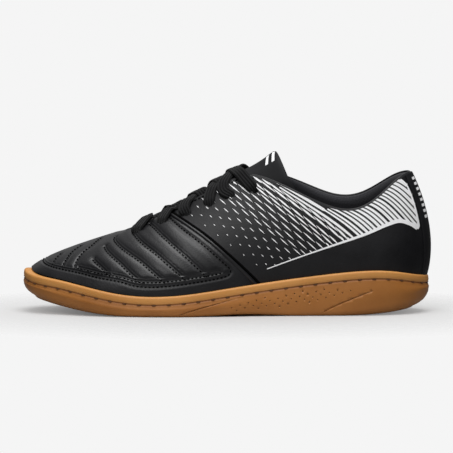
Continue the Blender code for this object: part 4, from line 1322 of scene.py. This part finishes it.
def pits(sole, dark):
    """Presses the rows of small pits into the side of the sole, their insides in dark gum as painted shade.
    """
    bpy.context.view_layer.update()
    spots, aways = pit_spots(sole)
    turn = 2 * math.pi * np.arange(PIT_SIDES) / PIT_SIDES
    points = []
    for z in (-PIT_DEPTH, PIT_DEPTH):
        points += [(PIT_RADIUS * math.cos(a), PIT_RADIUS * math.sin(a), z) for a in turn]
    peg = add_object("peg", np.array(points) - SHIFT, tube_faces(2, PIT_SIDES), [dark])
    at = carrier("pit_places", [spots], [aways])
    tree, given = new_tree("pits", {})
    upright = aligned(tree, "Z", {"Vector": carried(tree, "away", "FLOAT_VECTOR")})
    pegs = repeated(tree, peg, {"Points": shape_of(tree, at), "Rotation": upright})
    press = add_node(tree, "GeometryNodeMeshBoolean", {"Mesh 1": given["Mesh"], "Mesh 2": pegs},
                     operation="DIFFERENCE", solver="EXACT")
    end_tree(tree, press.outputs["Mesh"])
    grow("outsole_gum", sole, tree, {})
    for used in (at, peg):
        bpy.data.objects.remove(used)


def groove_dents(dark):
    """Short dents, like sunken stitches, at even steps along the sole's groove, in dark gum as painted shade.
    """
    _, _, _, _, outward, outer, _, groove = sole_ring(np.arange(0, ROUND, SOLE_STEP))
    line = outer - outward * GROOVE_DEPTH * 0.55
    line[:, 2] = groove
    line, outward = np.concatenate([line, line[:1]]), np.concatenate([outward, outward[:1]])
    unit = unit_stitch()
    sizes = {"Pitch": DENT_PITCH, "Length": DENT_LENGTH, "Width": DENT_WIDTH}
    made = grow("groove_dents", carrier("groove", [line], [outward]), stitch_tree(unit, dark), sizes)
    bpy.data.objects.remove(unit)
    return made


# The insole and the shell of the upper


def insole(finish):
    """The sock liner: a foam sheet cupped a little at its edge."""
    u = np.arange(0, ROUND, 0.1)
    inside = -(WALL + FIT_GAP)
    brim = wall_share_at(u, wall_point(u, 0.0)[:, 2] + INSOLE_THICKNESS + INSOLE_BRIM)
    rings = [wall(u, 0.0, inside), wall(u, brim, inside - FIT_GAP)]
    inward = plan_outward(rings[1])
    for part in (0.15, 0.4, 0.7, 1.0):
        ring = rings[1] - inward * INSOLE_BRIM_WIDTH * part
        fall = INSOLE_BRIM * (1 - part) ** 2
        ring[:, 2] = footbed(ring[:, 0]) + INSOLE_THICKNESS + fall
        rings.append(ring)
    points, faces = fill_ends(rings, laid(footbed), laid(footbed, INSOLE_THICKNESS), 10)
    points = np.array(points)
    return add_object("sock_liner", points, faces, [finish], uv=points[:, :2])


def eyelets():
    """Section of each lace hole, from the foot of the throat up."""
    return [section_at(along) for along in np.linspace(EYELET_FIRST, EYELET_LAST, EYELETS)]


def hole_cutter(sections):
    """Round pegs through the wall at the lace holes of both sides."""
    angles = 2 * math.pi * np.arange(HOLE_SIDES) / HOLE_SIDES
    faces = tube_faces(2, HOLE_SIDES)
    shapes = []
    for k in sections:
        for side in (OUTER, INNER):
            low, high = (instep(k, side * HOLE_ACROSS, out) for out in (-3 * WALL, 3 * WALL))
            turn = Vector(high - low).normalized().to_track_quat("Z", "Y")
            spokes = [turn @ Vector((math.cos(a), math.sin(a), 0)) * EYELET_RADIUS for a in angles]
            shapes.append(([end + np.array(s) for end in (low, high) for s in spokes], faces))
    return join_shapes("hole_cutter", shapes)


def upper(finish, lining):
    """The hollow shell of the upper, leather outside and lining inside, its top edge rounded."""
    u = np.arange(0, ROUND, 1 / 12)[None]
    rows = np.concatenate([np.linspace(0, 0.97, 40), [0.985, 0.994]])[:, None]
    outside = wall(u, rows, 0.0)
    inside = wall(u, rows, -WALL)
    inside[0, :, 2] = outside[0, :, 2]
    for deep, v in ((0.12, 0.9985), (0.5, 1.0)):
        outside = np.concatenate([outside, wall(u, np.array([[v]]), -WALL * deep)])
        inside = np.concatenate([inside, wall(u, np.array([[v]]), -WALL * (1 - deep))])
    made = shell("upper_leather", outside, inside, [finish, lining], closed_columns=True, smooth=60)
    half = (outside.shape[0] - 1) * outside.shape[1]
    for face in made.data.polygons:
        if half <= face.index < 2 * half:
            face.material_index = 1
    cut(made, hole_cutter(eyelets()))
    return made


# The vamp


def both_sides(lines):
    """Lines of (section, share) and their mirror images on the inner side."""
    return lines + [line * [-1, 1] for line in lines]


def sewn_lines(distance):
    """The seams of the vamp on both sides as lines of (section, share), moved a distance over the wall."""
    seams = [smooth_line(seam, 12 * len(seam)) for seam in RIB_SEAMS + TOE_SEAMS + [BAND_SEAM]]
    low_run = seams[-1][:seams[-1][:, 0].argmax()]
    closing = low_run[(low_run[:, 0] > CLOSING_RUN[0]) & (low_run[:, 0] < CLOSING_RUN[1])]
    seams.append(beside(closing, CLOSING_GAP))
    return both_sides([beside(seam, distance) for seam in seams] if distance else seams)


def distance_to(points, lines):
    """Distance of many points from the nearest of some lines of (section, share)."""
    flat = points.reshape(-1, 3)
    best = np.full(len(flat), 1.0)
    for line in lines:
        line = wall_point(line[:, 0], line[:, 1])
        for a, b in zip(line, line[1:]):
            run = b - a
            t = np.clip(((flat - a) @ run) / (run @ run), 0, 1)
            best = np.minimum(best, np.linalg.norm(flat - a - t[:, None] * run, axis=1))
    return best.reshape(points.shape[:-1])


def side_of_band(u, v):
    """True above the seam that closes the ribs towards toe band and heel."""
    line = smooth_line(BAND_SEAM, 160)
    k = np.abs(u)
    corner = line[:, 0].argmax()
    low = np.interp(k, line[:corner + 1, 0], line[:corner + 1, 1])
    back = np.interp(v, line[corner:, 1], line[corner:, 0])
    return (v > low) & (k < np.where(v > line[corner, 1], back, line[corner, 0]))


def seam_line(count):
    """The seam behind the vamp, from its foot up, as (section, share)."""
    return smooth_line(np.array(SEAM)[:, ::-1], count)


def vamp_places():
    """Section and share of every point of the vamp's grid, from the sole up to the edge of the throat."""
    seam_share, seam_section = np.array(SEAM).T
    share = np.linspace(0, 1, VAMP_GRID[0])[:, None]
    across = np.linspace(-1, 1, VAMP_GRID[1])[None]
    foot_at = np.linspace(-VAMP_REACH, VAMP_REACH, 289)
    foot_share = wall_share_at(foot_at, sole_heights(foot_at % ROUND)[0] + FIT_GAP)
    u = across * np.interp(np.minimum(share, 0.999), seam_share, seam_section)
    for _ in range(4):
        low = np.interp(u, foot_at, foot_share)
        v = low + (1 - low) * share
        u = across * np.interp(v, seam_share, seam_section)
    return u, np.minimum(v, VAMP_TOP)


def vamp_relief(u, v, base):
    """How far padding, the folds beside the stitches and the rolled edge stand up at every point."""
    from_seam = distance_to(base, sewn_lines(0.0)) - SEAM_HALF_WIDTH
    from_thread = distance_to(base, sewn_lines(DOUBLE_GAP / 2))
    from_back = distance_to(base, both_sides([seam_line(60)]))
    rise = np.clip(from_seam / RIB_ROUND, 0, 1)
    pillow = np.sqrt(1 - (1 - rise) ** 2)
    off_toe = smooth_step((np.abs(u) - 1.2) / 1.4)
    rib = pillow * (LOW_PADDING + (1 - LOW_PADDING) * off_toe)
    band = LOW_PADDING * smooth_step(from_seam / BAND_SLOPE)
    padded = np.where(side_of_band(u, v), rib, band)
    tuck = TUCK_HEIGHT * np.clip(1 - (from_thread / TUCK_WIDTH) ** 2, 0, 1)
    roll = np.sqrt(np.clip(1 - ((from_back - BEAD) / BEAD) ** 2, 0, 1))
    quiet = smooth_step((from_back - 2.2 * BEAD) / BAND_SLOPE)
    top_fade = smooth_step((1 - v) / VAMP_TOP_FADE)
    return (RIB_RELIEF * padded + tuck) * quiet * top_fade + BEAD_RISE * roll


def vamp(finish):
    """The quilted vamp: padded ribs between sewn lines, a flat band along the sole, its back edge rolled."""
    u, v = vamp_places()
    base = wall_point(u, v)
    out = VAMP_GAP + VAMP_SKIN + vamp_relief(u, v, base)
    outside = base + wall_normal(u, v) * out[..., None]
    step = VAMP_INNER_STEP
    inside = wall(u[::step, ::step], v[::step, ::step], UNDER_GAP)
    made = shell("vamp_quilt", outside, inside, [finish], smooth=50, step=step)
    cut(made, hole_cutter([k for k in eyelets() if k < SEAM[-1][1]]))
    return made


# The heel strip and the collar


def heel_strip(finish):
    """The strip over the back seam, its sides turned down onto the upper."""
    columns = SECTIONS + np.array(STRIP_COLUMNS) / 3
    low = wall_share_at(columns, sole_heights(columns)[0] + FIT_GAP)
    v = low + (0.99 - low) * np.linspace(0, 1, 40)[:, None]
    u = np.broadcast_to(columns, v.shape)
    edge = np.interp(np.abs(columns - SECTIONS) * 3, [0, 1.8, 1.93, 2], [1, 1, 0.85, 0.4])
    outside = wall(u, v, FIT_GAP + STRIP_THICKNESS * edge[None])
    inside = wall(u, v, 0.00005 + 0 * v)
    return shell("heel_strip_leather", outside, inside, [finish], smooth=50)


def collar_lining(finish):
    """The padded lining of the collar, fullest near its top edge, inside the upper up to that edge."""
    first = 7 + 2 / 3
    u = np.linspace(first, ROUND - first, 220)[None]
    back = smooth_step(1 - abs(u - SECTIONS) / 3.2)
    depth = LINING_DEPTH_SIDE + (LINING_DEPTH_HEEL - LINING_DEPTH_SIDE) * back
    fade = smooth_step((SECTIONS - first - abs(u - SECTIONS)) / 1.2 + 0.25)
    low = wall_share_below_top(u, depth)
    down = np.linspace(1, 0, 36)[:, None]
    v = low + (0.9985 - low) * (1 - down)
    full = np.interp(down, *zip(*LINING_FULLNESS))
    outside = wall(np.broadcast_to(u, v.shape), v, -(WALL + 0.00005) + 0 * v)
    inside = wall(np.broadcast_to(u, v.shape), v, -(WALL + FIT_GAP) - LINING_THICKNESS * full * fade)
    line = wall_point(u[0], 0.9)
    run = np.concatenate([[0], np.cumsum(np.linalg.norm(np.diff(line, axis=0), axis=1))])
    uv = np.stack([np.broadcast_to(run, v.shape), down * depth], -1)
    return shell("collar_pad", outside, inside, [finish], uv=uv, smooth=60)


def cord(middle, across, thick, wide):
    """Points and faces of a cord along a line on the shoe, half as thick and half as wide as given."""
    tangent = np.gradient(middle, axis=0)
    up = np.cross(tangent, across)
    up /= np.linalg.norm(up, axis=1)[:, None]
    turn = 2 * math.pi * np.arange(CORD_SIDES) / CORD_SIDES
    rings = [middle + across * thick * math.cos(a) + up * wide * math.sin(a) for a in turn]
    return np.array(rings).transpose(1, 0, 2).reshape(-1, 3), tube_faces(len(middle), CORD_SIDES)


def collar_piping(finish):
    """A thin round cord along the edge of the collar."""
    u = np.linspace(COLLAR_START, ROUND - COLLAR_START, 320)
    shape = cord(wall(u, 0.999, -WALL * 0.55), wall_normal(u, 0.99), PIPING_RADIUS, PIPING_RADIUS)
    return join_shapes("collar_piping", [shape], [finish])


def vamp_seam_shade(finish):
    """A thin black cord behind the vamp's rolled edge: painted shade, the dark line of shadow along that
    seam.
    """
    line = beside(even_run(seam_line(120), 90), -SEAM_SHADE_OFFSET)
    line[:, 1] = np.clip(line[:, 1], 0.05, 0.985)
    shapes = []
    for u, v in (moved.T for moved in both_sides([line])):
        shapes.append(cord(wall(u, v, 0.0), wall_normal(u, v), SEAM_SHADE_RISE, SEAM_SHADE_WIDTH / 2))
    return join_shapes("vamp_cut_edge", shapes, [finish])


def slab(high, low):
    """Points and faces of a thin plate between two grids of points."""
    rows, columns = high.shape[:2]
    top = grid_faces(rows, columns)
    faces = top + [tuple(n + rows * columns for n in face[::-1]) for face in top]
    rim = [n * columns for n in range(rows)] + list(range((rows - 1) * columns + 1, rows * columns))
    rim += [n * columns + columns - 1 for n in range(rows - 2, -1, -1)] + list(range(columns - 2, 0, -1))
    faces += [(a, b, b + rows * columns, a + rows * columns) for a, b in zip(rim, rim[1:] + rim[:1])]
    return np.concatenate([high.reshape(-1, 3), low.reshape(-1, 3)]), faces


def heel_marks(finish):
    """A column of short white bars on both sides of the heel strip."""
    shapes = []
    for turn in (1, -1):
        for share in np.linspace(*HEEL_BARS):
            u = SECTIONS - turn * np.linspace(*HEEL_BAR_REACH, 5)[None]
            v = share + np.array([-HEEL_BAR_HALF_HEIGHT, HEEL_BAR_HALF_HEIGHT])[:, None]
            outs = (STRIP_THICKNESS + PRINT_FILM, STRIP_THICKNESS * 0.8)
            shapes.append(slab(*(wall(u, v, FIT_GAP + out) for out in outs)))
    return join_shapes("heel_marks", shapes, [finish])


# The tongue


def tongue_sheet():
    """The top of the tongue: rows under the edges of the throat, then the free end above the collar."""
    rows = []
    for k in TONGUE_SECTIONS:
        under = WALL + 2 * FIT_GAP + TONGUE_DROP * smooth_step((k - 5) / 1.7)
        rows.append([instep(k, lane, -under) for lane in TONGUE_LANES])
    last = np.array(rows[-1])
    sides = np.abs(np.array(TONGUE_LANES)) / 2
    turn = np.array(TONGUE_LANES) / 2 * math.pi / 2
    end = np.stack(
        [
            place(TONGUE_TIP_ALONG + (TONGUE_SIDE_ALONG - TONGUE_TIP_ALONG) * sides**1.5),
            TONGUE_END_HALF_WIDTH * np.sin(turn),
            TONGUE_SIDE_HEIGHT + (TONGUE_TOP_HEIGHT - TONGUE_SIDE_HEIGHT) * np.cos(turn) ** 1.2,
        ],
        1,
    )
    for middle, side in TONGUE_FREE_ROWS:
        go = (middle + (side - middle) * sides)[:, None]
        row = last + (end - last) * go
        row[:, 2] += (TONGUE_SWELL - TONGUE_SAG) * (1 - sides**2) * (middle < 1)
        rows.append(row)
    return np.array(rows, float)


def tongue_faces():
    """Upper and lower side of the padded tongue as grids of points, and the upward direction."""
    coarse = tongue_sheet()
    lanes = np.array([smooth_line(row, TONGUE_GRID[1]) for row in coarse])
    fine = np.stack([smooth_line(lane, TONGUE_GRID[0]) for lane in lanes.transpose(1, 0, 2)], 1)
    normal = np.cross(np.gradient(fine, axis=1), np.gradient(fine, axis=0))
    normal[0] = normal[1]
    normal /= np.linalg.norm(normal, axis=-1, keepdims=True)
    upward = np.where(normal[..., 2:] < 0, -normal, normal)
    across = np.abs(np.linspace(-1, 1, fine.shape[1]))[None]
    along = np.linspace(0, 1, fine.shape[0])[:, None]
    edge = np.minimum(np.clip((1 - across) / 0.05, 0, 1), np.clip((1 - along) / 0.03, 0, 1))
    slim = np.interp(across, [0, 0.5, 0.75, 1.0], [1, 0.9, 0.6, 0.35])
    pad = np.sqrt(1 - (1 - edge) ** 2) * 0.75 + 0.25
    middle = fine - upward * TONGUE_THICKNESS / 2
    top = middle + upward * (TONGUE_THICKNESS / 2 * slim * pad)[..., None]
    bottom = middle - upward * (TONGUE_THICKNESS / 2 * slim * pad)[..., None]
    return top, bottom, upward


def tongue(finish):
    """A thin padded sheet with a bound edge."""
    top, bottom, _ = tongue_faces()
    return shell("tongue_pad", top, bottom, [finish], smooth=50)


def tongue_marks(finish):
    """Two plain slanted white bars near the tip of the tongue."""
    top, _, upward = tongue_faces()
    shapes = []
    for middle in TONGUE_BARS:
        rows = []
        for length in np.linspace(-1, 1, 9):
            i = TONGUE_MARK[0] + middle + TONGUE_BAR_REACH[0] * length
            j = TONGUE_MARK[1] + TONGUE_BAR_REACH[1] * length
            across = (i + TONGUE_BAR_HALF, i, i - TONGUE_BAR_HALF)
            rows.append([[grid_at(grid, row, j) for grid in (top, upward)] for row in across])
        spots, away = np.array(rows).transpose(2, 0, 1, 3)
        shapes.append(slab(spots + away * PRINT_FILM * 1.5, spots - away * PRINT_FILM))
    return join_shapes("tongue_marks", shapes, [finish])


def grid_at(grid, i, j):
    """A point between the rows and columns of a grid."""
    a, b = int(i), int(j)
    s, t = i - a, j - b
    near, far = (grid[row, b] * (1 - t) + grid[row, b + 1] * t for row in (a, a + 1))
    return near * (1 - s) + far * s


# The laces


def ribbon(path):
    """Points, faces and UV of a flat lace along a path of (middle, point above it, width)."""
    centre, above, wide = (np.array(column) for column in zip(*path))
    tangent = np.gradient(centre, axis=0)
    side = np.cross(tangent, above - centre)
    side /= np.linalg.norm(side, axis=1)[:, None]
    up = np.cross(side, tangent)
    up /= np.linalg.norm(up, axis=1)[:, None]
    run = np.concatenate([[0], np.cumsum(np.linalg.norm(np.diff(centre, axis=0), axis=1))])
    points, uv = [], []
    for p, s, n, w, r in zip(centre, side, up, wide, run):
        for a, b in LACE_SECTION:
            points.append(p + s * w * LACE_SPREAD * LACE_WIDTH / 2 * a + n * LACE_THICKNESS / 2 * b)
            uv.append((r, LACE_WIDTH / 2 * a))
    return points, tube_faces(len(path), len(LACE_SECTION)), uv


def lace_rise(k, across):
    """Middle of a lace off the upper at section k: higher where the vamp lies under it."""
    on_vamp = smooth_step((SEAM[-1][1] + 0.9 - k) / 0.5) * smooth_step((abs(across) - 0.8) / 0.3)
    return LACE_RISE + (VAMP_GAP + VAMP_SKIN + RIB_RELIEF) * on_vamp


def lace_point(k, across, rise, wide):
    """Middle of a lace over the instep, a point above it, and its share of the full width."""
    return instep(k, across, rise), instep(k, across, rise + 0.002), wide


def crossing(low, high, side, arrives_under, slack):
    """One lace from the hole at section low, over the throat, to the other side at section high.

    It bows towards the toe by its slack, on the outer side mostly just after the hole it comes from.
    """
    lean = LACE_LEAN[side]
    peak = lean**lean / (1 + lean) ** (1 + lean)
    path = []
    for t in np.linspace(LACE_START, 1.0, 44):
        if arrives_under and t > LACE_TUCK_END:
            break
        k = low + (high - low) * (t - slack * max(t, 0) * (1 - t) ** lean / peak)
        across = side * HOLE_ACROSS * (1 - 2 * t)
        rise = lace_rise(k, across) + LACE_LIFT[side] * math.sin(math.pi * min(max(t, 0), 1)) ** 0.8
        dive = max(0.0, (LACE_DIVE - t) / (LACE_DIVE - LACE_START))
        if arrives_under:
            rise -= LACE_TUCK_DEPTH * smooth_step((t - LACE_TUCK[0]) / (LACE_TUCK[1] - LACE_TUCK[0]))
        else:
            dive = max(dive, (t - 1 + LACE_DIVE) / LACE_DIVE)
        path.append(lace_point(k, across, rise - LACE_DIVE_DEPTH * dive**1.5, 1 - LACE_PINCH * dive))
    return path


def lace_bar(k):
    """The straight lace between the two lowest holes."""
    path = []
    for t in np.linspace(0, 1, 40):
        dive = max(0.0, (LACE_DIVE - min(t, 1 - t)) / LACE_DIVE)
        rise = lace_rise(k, 1) + LACE_BAR_RISE + LACE_BAR_BOW * math.sin(math.pi * t)
        rise -= LACE_BAR_DEPTH * dive**1.5
        path.append(lace_point(k, HOLE_ACROSS * (2 * t - 1), rise, 1 - LACE_PINCH * dive))
    return path


def laces(finish):
    """A bar at the foot of the throat and the crossings above it."""
    holes = eyelets()
    paths = [lace_bar(holes[0])]
    for number, (low, high) in enumerate(zip(holes[:-1], holes[1:])):
        last = number == len(holes) - 2
        for side, slack in zip((OUTER, INNER), LACE_SLACK[number]):
            paths.append(crossing(low, high, side, not last, slack))
    points, faces, uv = [], [], []
    for more, its_faces, its_uv in map(ribbon, paths):
        faces += [tuple(n + len(points) for n in face) for face in its_faces]
        points += more
        uv += its_uv
    return add_object("laces_braided", points, faces, [finish], uv=uv, smooth=60)


# The print


def side_view(line):
    """X and Z of places on the outer wall given as (section, share)."""
    line = np.asarray(line, float)
    return wall_point(line[:, 0], line[:, 1])[:, [0, 2]]


TOP_EDGE = wall(np.linspace(2, 12, 240), 1.0, np.full(240, -WALL / 2))[:, [0, 2]]


def roof(x):
    """Greatest height of the print in the side view."""
    return np.interp(x, *TOP_EDGE.T) - PRINT_MARGIN


def stripe_slope(spot):
    """Slope of the stripes: flat along the top edge, steeper away from it, most of all towards the heel."""
    depth = np.linalg.norm(TOP_EDGE - spot, axis=1).min()
    heel = smooth_step((spot[0] - place(0.70)) / (LENGTH * 0.20))
    low = STRIPE_SLOPES[0] + (STRIPE_SLOPES[1] - STRIPE_SLOPES[0]) * heel
    top = STRIPE_SLOPES_TOP[0] + (STRIPE_SLOPES_TOP[1] - STRIPE_SLOPES_TOP[0]) * heel
    return math.radians(low - (low - top) * math.exp(-depth / STRIPE_SLOPE_REACH))


def stripe(start):
    """One stripe of the print from its low end to the top edge, as rows of x, z, slope and distance run."""
    x, z = start
    rows = []
    while z < roof(x) + PRINT_OVERRUN and x > place(PRINT_LIMIT):
        slope = stripe_slope((x, z))
        rows.append((x, z, slope, STRIPE_STEP * len(rows)))
        x -= STRIPE_STEP * math.cos(slope)
        z += STRIPE_STEP * math.sin(slope)
    return np.array(rows)


def stripe_starts():
    """Low ends of the stripes, each with its distance behind the first dots."""
    lines = (PRINT_FRONT[::-1], PRINT_EDGE, PRINT_BACK)
    front, edge, back = (smooth_line(side_view(line), 120) for line in lines)
    low = np.concatenate([np.linspace(front[-1], edge[0], 12)[:-1], edge[:-1], back])
    on_back = np.arange(len(low)) > len(low) - len(back)
    found = []
    waited, far = 0.0, 0.0
    for spot, after, behind in zip(low, low[1:], on_back):
        slope = stripe_slope(spot)
        gone = (after - spot) @ [math.sin(slope), math.cos(slope)]
        far += gone
        waited += gone
        pitch = np.interp(far, [0.04, 0.07], [STRIPE_PITCH, STRIPE_PITCH_HEEL])
        if behind:
            pitch = np.interp(after[1], back[[0, -1], 1], [STRIPE_PITCH_BACK, STRIPE_PITCH_HEEL * 1.1])
        if waited > pitch:
            waited -= pitch
            found.append((after, far))
    return found


def nearest(line, others):
    """Distance of each point of one stripe from other stripes."""
    other = np.concatenate(others)
    apart = line[:, None, :2] - other[None, :, :2]
    return np.linalg.norm(apart, axis=2).min(axis=1)


def stripes():
    """The stripes of the print with their distances behind the first dots and their room to the next ones."""
    lines, fars = [], []
    for start, far in stripe_starts():
        line = stripe(start)
        if lines:
            close = np.where(nearest(line, lines[-3:]) < STRIPE_NEAREST)[0]
            line = line[:close[0]] if len(close) else line
        if len(line) > 5:
            lines.append(line)
            fars.append(far)
    rooms = [nearest(line, lines[max(n - 3, 0):n] + lines[n + 1:n + 3]) for n, line in enumerate(lines)]
    return list(zip(lines, fars, rooms))


def dash_table(found):
    """Middle, turn, length and width of every dash of the print, in the side view."""
    rows = []
    for number, (line, far, room) in enumerate(found):
        if far > DASHES_END:
            break
        under = line[:, 1] < roof(line[:, 0]) - 0.0003
        if not under.any():
            continue
        end = line[under, 3].max()
        length = np.interp(far, *zip(*DASH_LENGTHS))
        width = np.interp(far, *zip(*DASH_WIDTHS))
        begin = STRIPE_PERIOD * (((number + 1) * STRIPE_STAGGER) % 1) - STRIPE_PERIOD
        for middle in np.arange(begin, end + STRIPE_PERIOD, STRIPE_PERIOD):
            low, high = max(middle - length / 2, 0.0), min(middle + length / 2, end)
            if high - low > DASH_SHORTEST:
                x, z, slope = (np.interp((low + high) / 2, line[:, 3], line[:, n]) for n in range(3))
                wide = min(width, np.interp((low + high) / 2, line[:, 3], room) - STRIPE_GAP)
                rows.append((x, z, slope + math.radians(DASH_TURN), high - low, wide))
    return np.array(rows)


def print_dashes(side, table, unit, target, finish):
    """The dashes of one side: dots near the vamp that grow into stripes towards collar and heel."""
    mesh = bpy.data.meshes.new("dash_spots")
    mesh.from_pydata([(x + SHIFT[0], 0.0, z + SHIFT[2]) for x, z in table[:, :2]], [], [])
    for label, values in zip(("turn", "long", "wide"), table[:, 2:].T):
        mesh.attributes.new(label, "FLOAT", "POINT").data.foreach_set("value", np.ascontiguousarray(values))
    tree = dash_tree(unit, target, finish)
    return grow("print_dashes_" + SIDE_NAMES[side], linked("dash_spots", mesh), tree, {"Side": side})


def flat_band(line, half):
    """Points and faces of a band of the side view: X and Z along it, Y its height off the wall."""
    tangent = np.gradient(line, axis=0)
    tangent /= np.linalg.norm(tangent, axis=1)[:, None]
    normal = np.stack([-tangent[:, 1], tangent[:, 0]], 1) * np.asarray(half)[:, None]
    rows = []
    for a, b in zip(line + normal, line - normal):
        a_roof, b_roof = roof(a[0]), roof(b[0])
        over = a[1] > a_roof and b[1] > b_roof
        a, b = (a[0], min(a[1], a_roof)), (b[0], min(b[1], b_roof))
        rows.append([(a[0], 1, a[1]), (b[0], 1, b[1]), (b[0], 0, b[1]), (a[0], 0, a[1])])
        if over:
            break
    points = np.array(rows, float).reshape(-1, 3) * [1, PRINT_FILM * 1.15, 1]
    return points - SHIFT * [0, 1, 0], tube_faces(len(rows), 4)


def print_bands(side, found, target, finish):
    """The through stripes behind the dashes, the swelling line under the print, and the one at its back."""
    edge = even_run(smooth_line(side_view(PRINT_EDGE), 200), 120)
    back = even_run(smooth_line(side_view(PRINT_BACK), 120), 60)
    bands = []
    for line, widths in ((edge, PRINT_EDGE_WIDTHS), (back, PRINT_BACK_WIDTHS)):
        bands.append(flat_band(line, np.interp(np.linspace(0, 1, len(line)), *zip(*widths))))
    for line, far, room in found:
        if far > DASHES_END:
            widest = np.interp(far, [DASHES_END, STRIPES_FULL], STRIPE_HALF_WIDTHS)
            widest *= np.interp(line[:, 3], [0, 0.008], [0.7, 1.0])
            half = np.clip((room - STRIPE_GAP) / 2, STRIPE_THINNEST, widest)
            bands.append(flat_band(line[:, :2], half))
    made = join_shapes("bands", bands, smooth=30)
    return grow("print_bands_" + SIDE_NAMES[side], made, film_tree(target, finish), {"Side": side})


def add_print(target, finish):
    """The white print on both quarters."""
    unit = unit_dash()
    found = stripes()
    table = dash_table(found)
    for side in (OUTER, INNER):
        settle(print_dashes(side, table, unit, target, finish), [])
        settle(print_bands(side, found, target, finish), [])
    bpy.data.objects.remove(unit)


# The rows of stitches


def wall_lines(lines, out):
    """Lines of (section, share) as points on the wall, a little off it, with their normals."""
    points = [wall(line[:, 0], line[:, 1], np.broadcast_to(out, len(line))) for line in lines]
    normals = [wall_normal(line[:, 0], line[:, 1]) for line in lines]
    return points, normals


def beside(line, distance):
    """The same line moved sideways over the wall."""
    points = wall_point(line[:, 0], line[:, 1])
    tangent = np.gradient(points, axis=0)
    normal = wall_normal(line[:, 0], line[:, 1])
    side = np.cross(normal, tangent)
    side /= np.linalg.norm(side, axis=1)[:, None]
    du = (wall_point(line[:, 0] + NUDGE, line[:, 1]) - points) / NUDGE
    dv = (wall_point(line[:, 0], line[:, 1] + NUDGE) - points) / NUDGE
    moved = []
    for n, a, b, s in zip(line, du, dv, side):
        shift = np.linalg.lstsq(np.stack([a, b], 1), s * distance, rcond=None)[0]
        moved.append(n + shift)
    return np.array(moved)


def stitch_row(name, lines, out, tree):
    """Stitches along lines of (section, share), a distance off the wall, as a piece of their own."""
    points, normals = wall_lines(lines, out)
    return settle(grow(name, carrier("rows", points, normals), tree, {}), [])


def add_stitches(thread):
    """Rows of stitches: beside every fold of the vamp and along the throat."""
    unit = unit_stitch()
    tree = stitch_tree(unit, thread)
    stitch_row("vamp_stitches", sewn_lines(-DOUBLE_GAP / 2), VAMP_GAP + STITCH_RISE, tree)
    holes = eyelets()
    throat = np.linspace(holes[0] - 0.1, COLLAR_START, 60)
    edge = np.stack([throat, wall_share_below_top(throat, THROAT_STITCHES)], 1)
    stitch_row("throat_stitches", both_sides([edge[throat > 4.5]]), 0.0001, tree)
    bpy.data.objects.remove(unit)


def main():
    """The view, the finishes and every piece with the nodes it stands for."""
    add_camera()
    add_studio()
    gum = gum_rubber("gum_rubber", GUM, GUM_LIGHT)
    # painted light: a lighter copy of the gum for the band, which faces up to the light
    lit_band_gum = gum_rubber("gum_band_painted_light", GUM_BAND_LIT, GUM_BAND_LIT_CLOUD)
    black = leather("quarter_leather", BLACK_LEATHER, roughness=0.50, gloss=0.30, grain=900)
    vamp_black = leather("vamp_leather", BLACK_LEATHER, roughness=0.38, gloss=0.38, grain=700)
    tongue_black = leather("tongue_leather", TONGUE_BLACK, roughness=0.6, gloss=0.15, grain=900, relief=1e-4)
    lining = knit("lining_knit", LINING_BLACK, LINING_GREY, count=900)
    foam = knit("insole_cloth", INSOLE_BLACK, INSOLE_GREY, count=700)
    white = plain_film("white_print", WHITE_PRINT, roughness=0.45)
    thread = plain_film("black_thread", THREAD_BLACK, roughness=0.9, gloss=0.05)
    shade_gum = plain_film("gum_shadow", GUM_PAINTED_SHADE, roughness=0.6)
    groove_gum = plain_film("gum_groove", GUM_GROOVE, roughness=0.6)
    settle(outsole(gum, groove_gum, shade_gum, lit_band_gum), ["outsole"])
    # painted shade: dark dents in the groove
    settle(groove_dents(shade_gum), [])
    settle(insole(foam), ["insole"])
    shell_piece = settle(upper(black, lining), ["upper"])
    add_print(shell_piece, white)
    add_stitches(thread)
    settle(vamp(vamp_black), ["vamp_panel"])
    # painted shade: a black line behind the vamp's rolled edge
    settle(vamp_seam_shade(thread), [])
    settle(heel_strip(black), ["heel_strip"])
    settle(heel_marks(white), [])
    settle(collar_piping(black), [])
    pad = settle(collar_lining(lining), ["collar_lining"])
    flap = settle(tongue(tongue_black), ["tongue"])
    settle(tongue_marks(white), [])
    settle(laces(lace_braid()), ["laces"])


main()
